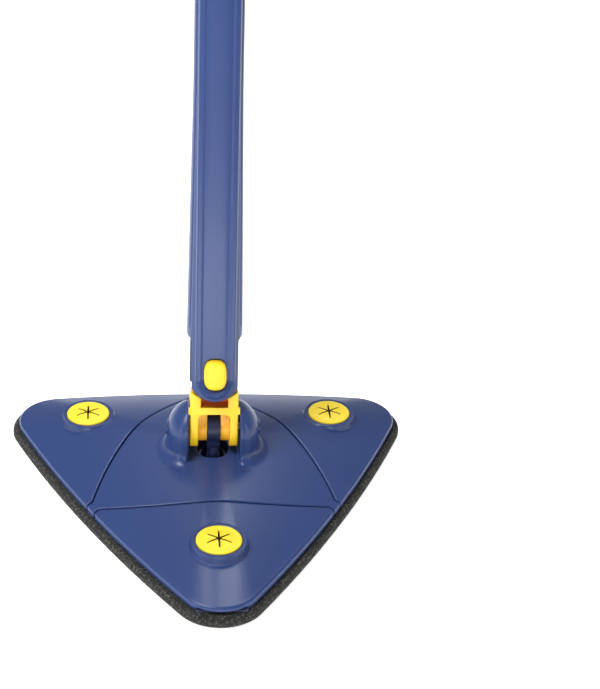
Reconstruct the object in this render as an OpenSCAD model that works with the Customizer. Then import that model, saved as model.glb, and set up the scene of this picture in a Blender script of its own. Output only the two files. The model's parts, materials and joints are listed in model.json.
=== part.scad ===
// Triangular swivel floor mop: three folding wings round a centre plate, a two-axis
// swivel joint, a two-shell neck and a pole screwed together from three tubes.
// Frame: origin on the floor under the middle of the head, front wing toward -Y, +Z up.

/* [Head] */
// Distance from the middle of the head to each wing tip
tip_r = 164; // [140:1:200]
// Radius of each rounded wing tip
corner_r = 29; // [20:1:34]
// Radius of the slightly bowed long sides
side_r = 1100; // [700:10:2000]
// Height of the head's rim above the floor
rim_z = 14; // [12.5:0.5:18]
// Rise of the crown above the rim
dome_h = 19.5; // [14:0.5:22]
// Power that shapes the dome from crown to rim
dome_power = 1.75; // [1.4:0.05:2.2]
// Wall of the moulded top shells
shell_t = 2.6; // [2:0.1:3.5]
// Radius rolled over the rim
rim_fillet = 3.5; // [2:0.1:4]
// Slot between a wing and the centre plate
seam_gap = 1.2; // [0.8:0.1:2]
// How far the middle of each seam bows toward its wing
seam_bow = 13; // [8:0.5:15]
// Width of the centre plate's blunt corners between two wings
block_w = 9; // [6:0.5:14]

/* [Hinges] */
// How far each hinge pin stands inside the middle of its seam
hinge_in = 2.5; // [0.5:0.5:4.5]
// Height of the hinge pins
hinge_z = 11.3; // [11.1:0.1:12]
// Diameter of the steel hinge pins
hinge_pin_d = 3; // [2.5:0.1:3.2]
// Length of each hinge pin
hinge_len = 104; // [80:1:110]
// Outer diameter of the hinge knuckles
knuckle_d = 6.4; // [5.6:0.1:6.8]
// Largest downward fold of a wing
fold_max = 60; // [30:5:60]

/* [Pad] */
// Thickness of the plush pad
pad_t = 7.5; // [6:0.5:7.5]
// How far the pad stands out past the rim
pad_lip = 4; // [1:0.5:6]
// Thickness of the hook tape
tape_t = 1.2; // [0.8:0.1:1.3]

/* [Cloth grips] */
// Distance from the middle of the head to each cloth grip
grip_r = 107; // [95:1:115]
// Diameter of the star-slit grip disc
grip_d = 32; // [26:1:36]
// Wall of the round boss that holds a grip
boss_wall = 3.2; // [2:0.1:4]
// Height of the top of the boss
boss_z = 27.5; // [26:0.5:30]
// Width of the star slits
slit_w = 0.8; // [0.5:0.1:1.5]
// Number of petals in a star
petals = 6; // [6:2:8]

/* [Swivel joint] */
// Height of the tilt pin
pivot_z = 50; // [48:0.5:60]
// Diameter of the tilt pin
pivot_pin_d = 6; // [5:0.5:8]
// Rounding radius of the ears about the tilt pin
ear_r = 20; // [16:0.5:21]
// Depth of one domed ear along the tilt pin
ear_t = 15; // [12:0.2:18]
// How far an ear's foot flares out over the plate
ear_foot = 7; // [4:0.5:9]
// Distance from the middle to the inside of an ear
ear_in = 18.9; // [18:0.1:22]
// Half width of the yoke over its legs
yoke_half = 17.4; // [15:0.1:17.6]
// Thickness of one yoke leg
leg_t = 5.9; // [4.5:0.1:7]
// Radius of the yoke legs about the tilt pin
leg_r = 14; // [11:0.5:14.5]
// Half width of the fixed lug between the cheeks
lug_half = 4.4; // [3:0.1:5.5]
// Side clearance between lug and cheeks
lug_gap = 0.5; // [0.3:0.1:1]
// Distance from the tilt pin to the swing pin
swing_s = 48; // [46:0.5:56]
// Diameter of the swing pin
swing_pin_d = 10; // [8:0.5:12]
// Radius of the yoke's eye about the swing pin
eye_r = 14.5; // [12:0.1:16]
// Thickness of the yoke's eye
eye_t = 14; // [10:0.5:16]
// Lean of the pole at rest, backward from upright
lean = 13; // [0:1:20]

/* [Neck] */
// Distance from the tilt pin to the top of the neck
neck_top = 400; // [360:5:460]
// Distance from the tilt pin to the end of the neck's taper
neck_mid = 250; // [200:5:280]
// Radius of the neck at the swing pin
neck_r_low = 20.7; // [20:0.1:23]
// Radius of the neck where its taper ends
neck_r_mid = 17.5; // [17:0.1:20]
// Radius of the neck at its top
neck_r_top = 17; // [16.8:0.1:20]
// Wall of the neck shells
neck_wall = 3.4; // [3:0.1:3.6]
// Half width of the two tongues that clasp the yoke
tongue_half = 17.3; // [16.8:0.1:19]
// Radius of the rounded end of the tongues
chin_r = 24; // [20:0.5:30]
// Distance from the swing pin down to the end of the tongues
chin_drop = 22; // [19:0.1:22.4]
// Radius about the swing pin where the side walls stop
hem_r = 28; // [27:0.5:36]
// Half width of the channel between the front rails
channel_half = 10; // [9.5:0.1:12]
// Depth of that channel
channel_depth = 1.5; // [0.8:0.1:1.6]
// Width of the push button
button_w = 17.2; // [15:0.1:18]
// Height of the push button
button_h = 24; // [20:0.2:26]
// Distance from the tilt pin to the middle of the push button
button_s = 46; // [44:0.5:50]
// Travel of the push button
button_travel = 3; // [2:0.1:3.2]
// How far the button stands proud of the channel
button_proud = 3.2; // [3.2:0.1:4.5]

/* [Pole] */
// Outer diameter of the steel tubes
tube_d = 22; // [20:0.5:25]
// Wall of the steel tubes
tube_wall = 0.6; // [0.5:0.1:1.2]
// Depth of the lower tube inside the neck
tube_in_neck = 70; // [50:5:90]
// Bare length of the lower tube
lower_bare = 45; // [30:5:80]
// Bare length of the middle tube
middle_bare = 395; // [300:5:450]
// Bare length of the upper tube
upper_bare = 160; // [100:5:220]
// Outer diameter of the yellow collars
collar_d = 27; // [25.5:0.5:32]
// Length of the collars
collar_len = 40; // [30:1:50]
// Outer diameter of the hand grip
handle_d = 26; // [25.5:0.5:32]
// Length of the hand grip
handle_len = 160; // [120:5:220]
// Length of the end cap past the hand grip
cap_len = 48; // [40:1:60]
// Thickness of the cap's flat hanging tab
cap_t = 12; // [9:0.5:16]
// Diameter of the hanging hole
hang_d = 13; // [8:0.5:14]

/* [Hidden] */
$fn = 64;

run_gap = 0.05;                       // running clearance of a pin in its bore
fit_gap = 0.2;                        // clearance between pieces that only locate each other
far = 400;                            // longer than any piece it cuts
front_dir = -90;
right_dir = 30;
left_dir = 150;
WING_DIRS = [front_dir, right_dir, left_dir];

blue = [0.33, 0.40, 0.62];
navy = [0.16, 0.20, 0.36];
yellow = [0.97, 0.84, 0.30];
steel = [0.80, 0.81, 0.83];
plush = [0.50, 0.50, 0.50];
black = [0.12, 0.12, 0.12];
handle_grey = [0.84, 0.85, 0.80];

// ---- head outline ---------------------------------------------------------------
// The outline is a triangle with bowed sides and round tips. c0 is the distance to a
// tip circle's centre and q the distance back to a side circle's centre.
function side_back(c0, rc, rs) = (-c0 + sqrt(c0 * c0 - 4 * (c0 * c0 - pow(rs - rc, 2)))) / 2;
function tangent_angle(c0, q, rs) =
    let (v = [c0 + q / 2, q * sin(60)], u = v / norm(v))
    atan2(-q * sin(60) + rs * u[1], -q / 2 + rs * u[0]);
function nearest_tip(a) = let (m = (a % 120 + 120) % 120) min(m, 120 - m);
// a is measured from a tip's direction; grow moves the whole outline outward
function rim(a, grow = 0) =
    let (c0 = tip_r - corner_r, rc = corner_r + grow, rs = side_r + grow,
        q = side_back(c0, rc, rs), f = nearest_tip(a))
    f < tangent_angle(c0, q, rs)
        ? c0 * cos(f) + sqrt(rc * rc - pow(c0 * sin(f), 2))
        : -q * cos(60 - f) + sqrt(rs * rs - pow(q * sin(60 - f), 2));

side_mid = rim(60);                   // distance to the middle of a long side
chord_r = side_mid / 2;               // distance to the straight line between two sides' middles
chord_half = side_mid * sin(60);
seam_r = (chord_half * chord_half + seam_bow * seam_bow) / (2 * seam_bow);
seam_c = chord_r + seam_bow - seam_r; // centre of the seam's arc along the wing's direction
hinge_step = 0.5;                     // the hinge pins keep to round places
hinge_r = hinge_step * round((chord_r + seam_bow - hinge_in) / hinge_step);
function seam(a) = seam_c * cos(a) + sqrt(seam_r * seam_r - pow(seam_c * sin(a), 2));
function dome(r, a) = rim_z + dome_h * (1 - pow(r / rim(a), dome_power));

plate_z = pad_t + tape_t + 0.2;       // underside of the plates
base_t = 2;
base_top = plate_z + base_t;
crown_z = rim_z + dome_h;
draft = 0.5;                          // taper of the shells' inner walls
wing_end = 60 - asin((block_w / 2 + seam_gap) / side_mid) - 0.15;
block_end = asin(block_w / 2 / side_mid);

// Closed body between a top grid and a bottom grid of points with the same rows and columns
module grid_body(top, bottom) {
    rows = len(top);
    cols = len(top[0]);
    n = rows * cols;
    function id(i, j, low) = i * cols + j + (low ? n : 0);
    quads = [for (i = [0:rows - 2], j = [0:cols - 2], low = [false, true])
        let (a = id(i, j, low), b = id(i + 1, j, low), c = id(i + 1, j + 1, low), d = id(i, j + 1, low))
        each (low ? [[a, c, b], [a, d, c]] : [[a, b, c], [a, c, d]])];
    ends = [for (i = [0:rows - 2])
        each [[id(i, 0, false), id(i + 1, 0, true), id(i + 1, 0, false)],
            [id(i, 0, false), id(i, 0, true), id(i + 1, 0, true)],
            [id(i, cols - 1, false), id(i + 1, cols - 1, false), id(i + 1, cols - 1, true)],
            [id(i, cols - 1, false), id(i + 1, cols - 1, true), id(i, cols - 1, true)]]];
    sides = [for (j = [0:cols - 2])
        each [[id(0, j, false), id(0, j + 1, false), id(0, j + 1, true)],
            [id(0, j, false), id(0, j + 1, true), id(0, j, true)],
            [id(rows - 1, j, false), id(rows - 1, j + 1, true), id(rows - 1, j + 1, false)],
            [id(rows - 1, j, false), id(rows - 1, j, true), id(rows - 1, j + 1, true)]]];
    polyhedron([each [for (r = top) each r], each [for (r = bottom) each r]],
        concat(quads, ends, sides), convexity = 6);
}

function polar(r, a, z) = [r * cos(a), r * sin(a), z];
function flat(r, a) = [r * cos(a), r * sin(a)];

// ---- wings (drawn with the wing pointing along +X, then turned) --------------------
wing_steps = 18;                      // angular steps, closer together round the tip
function spread(k, n, m) = m * sign(k) * pow(abs(k) / n, 1.5);
wing_cols = 8;
function wing_in(a) = seam(a) + seam_gap / 2;
function wing_len(a) = rim(a) - wing_in(a);
function roll(a) = min(rim_fillet, wing_len(a) * 0.4);
// top row j of the wing at angle a: straight over the dome, then rolled over the rim
function wing_top(a, j) =
    let (flat = wing_cols - 3, r1 = rim(a) - roll(a), t = min(j / flat, 1), b = max(j - flat, 0) * 30,
        r = wing_in(a) + (r1 - wing_in(a)) * t)
    polar(r + roll(a) * sin(b), a, dome(r, a) - roll(a) * (1 - cos(b)));
function wall_share(a, w) = min(w / wing_len(a), w / 10);
function wing_low(a, edge, j) =
    let (f1 = wall_share(a, shell_t), f2 = wall_share(a, shell_t + draft), n = wing_cols,
        f = [0, f1, f2, for (k = [1:n - 5]) f2 + (1 - 2 * f2) * k / (n - 4), 1 - f2, 1 - f1, 1][j],
        r = wing_in(a) + wing_len(a) * f, inside = edge && j > 1 && j < n - 1)
    polar(r, a, inside ? max(dome(r, a) - shell_t - 1.2 * f * (f > 0.8 ? 1 : 0), plate_z + 0.8) : plate_z);
wing_wall_a = 1.7;                    // the end walls' thickness as an angle
function wing_angles(low) =
    let (e = wing_end, w = low ? wing_wall_a : 1.2, d = low ? 0.3 : 1.2, m = e - w - d)
    [-e, -e + w, for (k = [0:wing_steps]) spread(k - wing_steps / 2, wing_steps / 2, m), e - w, e];

module wing_blank() {
    top_a = wing_angles(false);
    low_a = wing_angles(true);
    last = len(top_a) - 1;
    grid_body([for (a = top_a) [for (j = [0:wing_cols]) wing_top(a, j)]],
        [for (i = [0:last]) [for (j = [0:wing_cols]) wing_low(low_a[i], i > 1 && i < last - 1, j)]]);
}

// Space kept free round a hinge, in both the wing and the centre plate
notch_end = 10;                       // how far it runs past each end of the pin
module hinge_notch() {
    notch_d = knuckle_d / 2 + 1;
    translate([hinge_r - notch_d, -hinge_len / 2 - notch_end, 0])
        cube([2 * notch_d, hinge_len + 2 * notch_end, hinge_z + knuckle_d / 2 + 0.5]);
}
arm_l = 9;                            // length of a wing knuckle's arm
module arm_notch() {
    translate([hinge_r, -hinge_len / 2 - 1, 0])
        cube([arm_l, hinge_len + 2, base_top + 0.4]);
}

boss_r = grip_d / 2 + 0.3 + boss_wall;
post_at = [[84, 30], [84, -30], [138, 0]];
module wing_posts() {
    for (p = post_at)
        translate([p[0], p[1], base_top])
            cylinder(d = 6, h = dome(norm(p), atan2(p[1], p[0])) - base_top - shell_t / 2);
}
module post_bores() {
    for (p = post_at)
        translate([p[0], p[1], base_top - 1])
            cylinder(d = screw_d, h = screw_l - base_t + 1 + fit_gap);
}
screw_d = 2.5;
screw_head_d = 4.6;
screw_l = 7;

mouth_w = 36;
module wing_shell(mouth) {
    difference() {
        union() {
            difference() {
                wing_blank();
                translate([grip_r, 0, 0])
                    cylinder(r = boss_r - boss_wall / 2, h = far);
            }
            translate([grip_r, 0, base_top])
                difference() {
                    cylinder(r = boss_r, h = boss_z - base_top);
                    translate([0, 0, -1])
                        cylinder(r = boss_r - boss_wall, h = far);
                }
            wing_posts();
        }
        post_bores();
        hinge_notch();
        arm_notch();
        if (mouth)
            translate([tip_r - 12, -mouth_w / 2, 0])
                cube([20, mouth_w, base_top + 0.4]);
    }
}

// Outline of a plate that sits inside a wing's skirt
plate_gap = 1.2;                      // clearance between a frame and the skirt round it
inset = shell_t + draft + plate_gap;
function base_a(k) = spread(k, 14, wing_end - 4);
module wing_base_plan() {
    difference() {
        polygon([each [for (k = [-14:14]) flat(wing_in(base_a(k)) + inset, base_a(k))],
            each [for (k = [14:-1:-14]) flat(rim(base_a(k)) - inset, base_a(k))]]);
        translate([-far + hinge_r + knuckle_d / 2 + 1.2, -far])
            square([far, 2 * far]);
    }
}

knuckles = 5;
knuckle_l = hinge_len / knuckles;
// Knuckle number k, counted along the pin; arm_to is where its arm ends along X
module knuckle(k, arm_to) {
    side_gap = 0.3;
    y0 = -hinge_len / 2 + k * knuckle_l + side_gap;
    l = knuckle_l - 2 * side_gap;
    translate([hinge_r, y0, hinge_z])
        rotate([-90, 0, 0])
            cylinder(d = knuckle_d, h = l);
    translate([min(arm_to, hinge_r), y0, plate_z])
        cube([abs(arm_to - hinge_r), l, base_t]);
}
module hinge_bore(d) {
    translate([hinge_r, -far / 2, hinge_z])
        rotate([-90, 0, 0])
            cylinder(d = d, h = far);
}

module wing_base(mouth) {
    color(navy)
        difference() {
            union() {
                translate([0, 0, plate_z])
                    linear_extrude(base_t)
                        wing_base_plan();
                for (k = [0:2:knuckles - 1])
                    knuckle(k, hinge_r + arm_l);
                if (mouth)
                    translate([tip_r - 14, -mouth_w / 2 + 0.5, plate_z])
                        cube([11.5, mouth_w - 1, base_t]);
            }
            hinge_bore(hinge_pin_d + 2 * run_gap);
            for (p = post_at)
                translate([p[0], p[1], 0]) {
                    cylinder(d = screw_d + 2 * fit_gap, h = far);
                    cylinder(d = screw_head_d + 2 * fit_gap, h = plate_z + 1.2);
                }
        }
}

module screws_up(points) {
    color(steel)
        for (p = points)
            translate([p[0], p[1], plate_z + 1.2]) {
                cylinder(d = screw_d, h = screw_l - 1.2);
                translate([0, 0, -1.1])
                    cylinder(d = screw_head_d, h = 1.1);
            }
}

// Star-slit grip: a disc with petals over a round collar that plugs the boss
module cloth_grip() {
    color(yellow)
        translate([grip_r, 0, 0])
            difference() {
                union() {
                    translate([0, 0, boss_z - 1.4])
                        cylinder(d = grip_d, h = 2.2);
                    translate([0, 0, base_top + 0.2])
                        cylinder(d = grip_d - 3, h = boss_z - base_top - 1.4);
                }
                translate([0, 0, base_top - 1])
                    cylinder(d = grip_d - 7, h = boss_z - base_top - 1);
                cylinder(d = 3, h = far);
                for (k = [0:petals / 2 - 1])
                    rotate(90 + k * 360 / petals)
                        translate([-grip_d * 0.37, -slit_w / 2, 0])
                            cube([grip_d * 0.74, slit_w, far]);
            }
}

module tape_strips(boxes) {
    color(black)
        translate([0, 0, pad_t + 0.1])
            linear_extrude(tape_t)
                for (b = boxes)
                    translate([b[0], b[1]])
                        square([b[2], b[3]], center = true);
}
wing_tapes = [[82, 0, 16, 92], [118, 0, 14, 56]];

module pad_plan() {
    polygon([for (k = [0:179]) flat(rim(2 * k, pad_lip), 2 * k)]);
}
// Wedge that frees the fold line under a hinge: its faces meet at the hinge axis
module fold_wedge() {
    half = fold_max / 2;
    reach = hinge_z + 1;
    translate([hinge_r, far, hinge_z])
        rotate([90, 0, 0])
            linear_extrude(2 * far)
                polygon([[-0.4, 0], [0.4, 0], [0.4 + reach * tan(half), -reach],
                    [-0.4 - reach * tan(half), -reach]]);
}
module wing_pad() {
    color(plush)
        difference() {
            linear_extrude(pad_t)
                pad_plan();
            translate([-far + hinge_r, -far / 2, -1])
                cube([far, far, far]);
            fold_wedge();
        }
}

module turned(dir) {
    rotate(dir)
        children();
}

// ---- centre plate -----------------------------------------------------------------
// angle a is measured from the right wing's direction and runs all the way round
function centre_edge(a) =
    let (f = nearest_tip(a), b = 60 - f, s = seam(f) - seam_gap / 2)
    b < 0.01 ? rim(f) : min(rim(f), max(s, block_w / 2 / sin(b)));
block_in = asin(block_w / 2 / (seam(60 - block_end) - seam_gap / 2)) + 0.25;
sector = [0, 9, 18, 27, 36, 45, 51, 55, 60 - block_in, 60 - block_end];
CENTRE_ANGLES = [for (t = [0:2]) each [for (a = sector) a + 120 * t, 
    for (k = [len(sector) - 1:-1:1]) 120 - sector[k] + 120 * t]];
centre_rings = 8;
function ring_r(a, k, low) =
    let (e = centre_edge(a), w = shell_t, d = shell_t + draft)
    low ? [0, 14, (e - d) * 0.4, (e - d) * 0.6, (e - d) * 0.8, e - d, e - w, e][k]
        : [0, 14, e * 0.3, e * 0.5, e * 0.7, e * 0.88, e - 1.5, e][k];
module centre_blank() {
    rotate(right_dir)
        centre_sheet();
}
module centre_sheet() {
    n = len(CENTRE_ANGLES);
    m = centre_rings - 1;
    function ring(low) = [for (k = [1:m], a = CENTRE_ANGLES)
        let (r = ring_r(a, k, low), wall = k > m - 2)
        polar(r, a, low ? (wall ? plate_z : max(dome(r, a) - shell_t, plate_z + 0.8))
            : dome(r, a) - (k == m ? 0.6 : 0))];
    pts = concat([[0, 0, crown_z]], ring(false), [[0, 0, crown_z - shell_t]], ring(true));
    half = 1 + m * n;
    function id(k, i, low) = (low ? half : 0) + 1 + (k - 1) * n + i % n;
    caps = [for (i = [0:n - 1]) each [[0, id(1, i + 1, false), id(1, i, false)],
        [half, id(1, i, true), id(1, i + 1, true)]]];
    bands = [for (k = [1:m - 1], i = [0:n - 1])
        each [[id(k, i, false), id(k, i + 1, false), id(k + 1, i + 1, false)],
            [id(k, i, false), id(k + 1, i + 1, false), id(k + 1, i, false)],
            [id(k, i, true), id(k + 1, i + 1, true), id(k, i + 1, true)],
            [id(k, i, true), id(k + 1, i, true), id(k + 1, i + 1, true)]]];
    wall = [for (i = [0:n - 1])
        each [[id(m, i, false), id(m, i + 1, false), id(m, i + 1, true)],
            [id(m, i, false), id(m, i + 1, true), id(m, i, true)]]];
    polyhedron(pts, concat(caps, bands, wall), convexity = 6);
}

ear_steps = 8;
ear_spread = 5;
// A domed lug round the tilt pin on a foot that flares out over the plate
module ear(side) {
    low = crown_z - 6;
    translate([side * ear_in, 0, pivot_z])
        rotate([0, side * 90, 0])
            rotate_extrude()
                polygon([[0, 0], for (k = [0:ear_steps])
                    [ear_r * cos(90 * k / ear_steps), ear_t * sin(90 * k / ear_steps)]]);
    translate([side > 0 ? ear_in : -ear_in - ear_t * 0.8, 0, 0])
        rotate([90, 0, 90])
            linear_extrude(ear_t * 0.8)
                polygon([[-ear_r - ear_foot, low], [ear_r + ear_foot, low],
                    [ear_r + ear_foot, crown_z - 2], [ear_r + 1, crown_z + 4], [ear_r - 1, pivot_z - 4],
                    [-ear_r + 1, pivot_z - 4], [-ear_r - 1, crown_z + 4], [-ear_r - ear_foot, crown_z - 2]]);
    translate([0, ear_r - 5, 0])
        rotate([90, 0, 0])
            linear_extrude(2 * ear_r - 10)
                polygon([[side * ear_in, low], [side * (ear_in + ear_t + ear_spread), low],
                    [side * (ear_in + ear_t + ear_spread), crown_z - 2],
                    [side * (ear_in + ear_t), crown_z + 6], [side * (ear_in + ear_t * 0.9), pivot_z - 4],
                    [side * ear_in, pivot_z - 4]]);
}

module tilt_bore(d) {
    translate([-far / 2, 0, pivot_z])
        rotate([0, 90, 0])
            cylinder(d = d, h = far);
}
bowl_w = 2 * (lug_half + lug_gap) + 12;
bowl_l = 28;
centre_posts = [for (d = WING_DIRS) [44 * cos(d + 60), 44 * sin(d + 60)]];

module centre_plate() {
    color(blue)
        difference() {
            union() {
                centre_blank();
                ear(-1);
                ear(1);
                for (p = centre_posts)
                    translate([p[0], p[1], base_top])
                        cylinder(d = 6, h = dome(44, 60) - base_top - shell_t / 2);
            }
            tilt_bore(pivot_pin_d);
            for (s = [-1, 1])
                translate([s * (ear_in + ear_t - cap_seat), 0, pivot_z])
                    rotate([0, s * 90, 0])
                        cylinder(d = cap_d, h = far);
            for (p = centre_posts)
                translate([p[0], p[1], base_top - 1])
                    cylinder(d = screw_d, h = screw_l - base_t + 1 + fit_gap);
            for (s = [-1, 1])
                translate([0, s * (bowl_l - bowl_w) / 2, 0])
                    cylinder(d = bowl_w, h = crown_z + 1);
            translate([-bowl_w / 2, -(bowl_l - bowl_w) / 2, 0])
                cube([bowl_w, bowl_l - bowl_w, crown_z + 1]);
            for (d = WING_DIRS)
                turned(d)
                    hinge_notch();
        }
}
cap_seat = 2.4;
cap_d = 11;

base_ring = [for (a = CENTRE_ANGLES) flat(centre_edge(a) - inset, a + right_dir)];
module centre_base() {
    lug_r = 12;
    color(navy)
        difference() {
            union() {
                difference() {
                    translate([0, 0, plate_z])
                        linear_extrude(base_t)
                            polygon(base_ring);
                    for (d = WING_DIRS)
                        turned(d)
                            translate([hinge_r - knuckle_d / 2 - 1.2, -far / 2, 0])
                                cube([far, far, far]);
                }
                translate([-lug_half, 0, pivot_z])
                    rotate([0, 90, 0])
                        cylinder(r = lug_r, h = 2 * lug_half);
                rotate([90, 0, 90])
                    translate([0, 0, -lug_half])
                        linear_extrude(2 * lug_half)
                            polygon([[-15, plate_z], [15, plate_z], [15, 22], [lug_r - 3, 34],
                                [lug_r - 1, pivot_z], [-lug_r + 1, pivot_z], [-lug_r + 3, 34], [-15, 22]]);
                translate([-bowl_w / 2 + 1, -15, plate_z])
                    cube([bowl_w - 2, 30, 16]);
                for (d = WING_DIRS)
                    turned(d)
                        for (k = [1:2:knuckles - 1])
                            knuckle(k, hinge_r - knuckle_d / 2 - 2);
            }
            tilt_bore(pivot_pin_d);
            for (d = WING_DIRS)
                turned(d)
                    hinge_bore(hinge_pin_d);
            for (p = centre_posts)
                translate([p[0], p[1], 0]) {
                    cylinder(d = screw_d + 2 * fit_gap, h = far);
                    cylinder(d = screw_head_d + 2 * fit_gap, h = plate_z + 1.2);
                }
        }
}

module centre_pad() {
    color(plush)
        difference() {
            linear_extrude(pad_t)
                rotate(right_dir)
                    pad_plan();
            for (d = WING_DIRS)
                turned(d) {
                    fold_wedge();
                    translate([hinge_r, -far / 2, -1])
                        cube([far, far, far]);
                }
        }
}

module centre_hook_tape() {
    tape_strips([[0, 26, 60, 14], [-30, -10, 14, 26], [30, -10, 14, 26]]);
}

module hinge_pin() {
    color(steel)
        translate([hinge_r, -hinge_len / 2, hinge_z])
            rotate([-90, 0, 0])
                cylinder(d = hinge_pin_d, h = hinge_len);
}

// ---- swivel joint ------------------------------------------------------------------
module tilt_pin() {
    l = ear_in + ear_t - cap_seat;
    color(steel)
        translate([-l, 0, pivot_z])
            rotate([0, 90, 0])
                cylinder(d = pivot_pin_d, h = 2 * l);
}
module pin_cap(side) {
    color(blue)
        translate([side * (ear_in + ear_t - cap_seat), 0, pivot_z])
            rotate([0, side * 90, 0])
                cylinder(d = cap_d, h = cap_seat + 0.4);
}

// Everything above the tilt pin is drawn upright from the pin and leaned back as one
module leaned() {
    translate([0, 0, pivot_z])
        rotate([-lean, 0, 0])
            children();
}
module depth_cylinder(s, r, from, to) {
    translate([0, from, s])
        rotate([-90, 0, 0])
            cylinder(r = r, h = to - from);
}

cheek_in = lug_half + lug_gap;
crown_low = 15;
crown_high = 24;
tab_t = 1.2;                          // how far the side tabs stand past the legs
slot_half = 9.8;                      // half width of the slot over the crown's bar
bar_h = 4.6;
arch_r = 5;                           // rounding between the legs and the bar
shoulder = yoke_half - 0.2;
module yoke_side(s) {
    cheek_r = leg_r - 4;
    x0 = yoke_half - leg_t;
    translate([s > 0 ? x0 : -yoke_half, 0, 0])
        rotate([0, 90, 0])
            cylinder(r = leg_r, h = leg_t);
    translate([s > 0 ? x0 : -yoke_half, -leg_r + 1, 0])
        cube([leg_t, 2 * leg_r - 2, crown_low + 1]);
    translate([s > 0 ? cheek_in : -x0, 0, 0])
        rotate([0, 90, 0])
            cylinder(r = cheek_r, h = x0 - cheek_in);
    translate([s > 0 ? cheek_in : -x0, -cheek_r + 1, 0])
        cube([x0 - cheek_in, 2 * cheek_r - 2, crown_low + 1]);
    difference() {
        translate([s > 0 ? x0 - arch_r : -x0, -leg_r + 1, crown_low - arch_r])
            cube([arch_r, 2 * leg_r - 2, arch_r + 1]);
        translate([s * (x0 - arch_r), 0, 0])
            depth_cylinder(crown_low - arch_r, arch_r, -far / 2, far / 2);
    }
}
module yoke() {
    color(yellow)
        leaned()
            difference() {
                union() {
                    yoke_side(-1);
                    yoke_side(1);
                    intersection() {
                        translate([-yoke_half, -leg_r + 1, crown_low])
                            cube([2 * yoke_half, 2 * leg_r - 2, crown_high - crown_low]);
                        depth_cylinder(0, norm([yoke_half, crown_high - 2]), -far / 2, far / 2);
                    }
                    translate([-eye_r, -eye_t / 2, crown_low])
                        cube([2 * eye_r, eye_t, swing_s - crown_low]);
                    translate([-shoulder, -eye_t / 2, crown_low])
                        cube([2 * shoulder, eye_t, neck_low + 8 - crown_low]);
                    translate([-yoke_half - tab_t, -leg_r - 0.5, crown_low - 0.5])
                        cube([2 * (yoke_half + tab_t), 3.5, bar_h]);
                    depth_cylinder(swing_s, eye_r, -eye_t / 2, eye_t / 2);
                    for (s = [-1, 1])
                        translate([s * (yoke_half + 0.4), 0, 0])
                            rotate([0, 90, 0])
                                cylinder(r = pivot_pin_d / 2 + 2.5, h = 0.8, center = true);
                }
                rotate([0, 90, 0])
                    cylinder(d = pivot_pin_d + 2 * run_gap, h = far, center = true);
                depth_cylinder(swing_s, swing_pin_d / 2 + run_gap, -far / 2, far / 2);
                translate([-slot_half, -far, crown_low + bar_h])
                    cube([2 * slot_half, far - eye_t / 2 + 3, crown_high - crown_low]);
            }
}

tongue_gap = eye_t / 2 + 0.3;         // half the slot between the tongues
pin_front = tongue_gap + 4.5;
pin_back = tongue_gap + 8;
module swing_pin() {
    color(steel)
        leaned()
            depth_cylinder(swing_s, swing_pin_d / 2, -pin_front, pin_back);
}

// ---- neck --------------------------------------------------------------------------
low_taper = (neck_r_low - neck_r_mid) / (neck_mid - swing_s);
top_taper = (neck_r_mid - neck_r_top) / (neck_top - neck_mid);
function neck_r(s) = s < neck_mid ? neck_r_mid + low_taper * (neck_mid - s)
    : neck_r_mid - top_taper * (s - neck_mid);
neck_low = swing_s - chin_drop;
socket_low = neck_top - tube_in_neck - 10;
hollow_low = swing_s + hem_r + 4;
module cone_between(from, to, less) {
    translate([0, 0, from])
        cylinder(r1 = neck_r(from) - less, r2 = neck_r(to) - less, h = to - from);
}
module neck_cone(less) {
    cone_between(neck_low - 2, neck_mid, less);
    cone_between(neck_mid, neck_top, less);
}
module depth_prism(half, low, round_r) {
    intersection() {
        union() {
            depth_cylinder(low + round_r, round_r, -far / 2, far / 2);
            translate([-half, -far / 2, low + round_r])
                cube([2 * half, far, far * 2]);
        }
        translate([-half, -far / 2, 0])
            cube([2 * half, far, far * 2]);
    }
}
module neck_solid() {
    difference() {
        neck_cone(0);
        difference() {
            union() {
                depth_cylinder(swing_s, hem_r, -far / 2, far / 2);
                translate([-far / 2, -far / 2, 0])
                    cube([far, far, swing_s]);
            }
            depth_prism(tongue_half, neck_low, chin_r);
        }
    }
}
// Box with four round edges, run through the neck at the button's height
module rounded_box(w, h, r, from, to) {
    for (x = [-1, 1], z = [-1, 1])
        translate([x * (w / 2 - r), 0, 0])
            depth_cylinder(button_s + z * (h / 2 - r), r, from, to);
    translate([-w / 2, from, button_s - h / 2 + r])
        cube([w, to - from, h - 2 * r]);
    translate([-w / 2 + r, from, button_s - h / 2])
        cube([w - 2 * r, to - from, h]);
}
button_gap = 0.25;
button_round = 7;
pocket_y = pin_front + 0.4;
neck_screw_s = [hollow_low + 45, socket_low - 30];
neck_screw_x = 9;
module neck_interior() {
    translate([-far / 2, -tongue_gap, 0])
        cube([far, 2 * tongue_gap, swing_s + hem_r - 3]);
    cone_between(hollow_low, neck_mid, neck_wall);
    cone_between(neck_mid, socket_low, neck_wall);
    translate([0, 0, socket_low - 0.01])
        cylinder(r = socket_r, h = neck_top);
    depth_cylinder(swing_s, swing_pin_d / 2, -pin_front, pin_back);
}
socket_r = neck_r_top - neck_wall;
module neck_bosses(from, to) {
    intersection() {
        for (s = neck_screw_s, x = [-1, 1])
            translate([x * neck_screw_x, 0, 0])
                depth_cylinder(s, 3.2, from, to);
        neck_cone(neck_wall / 2);
    }
}
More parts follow.
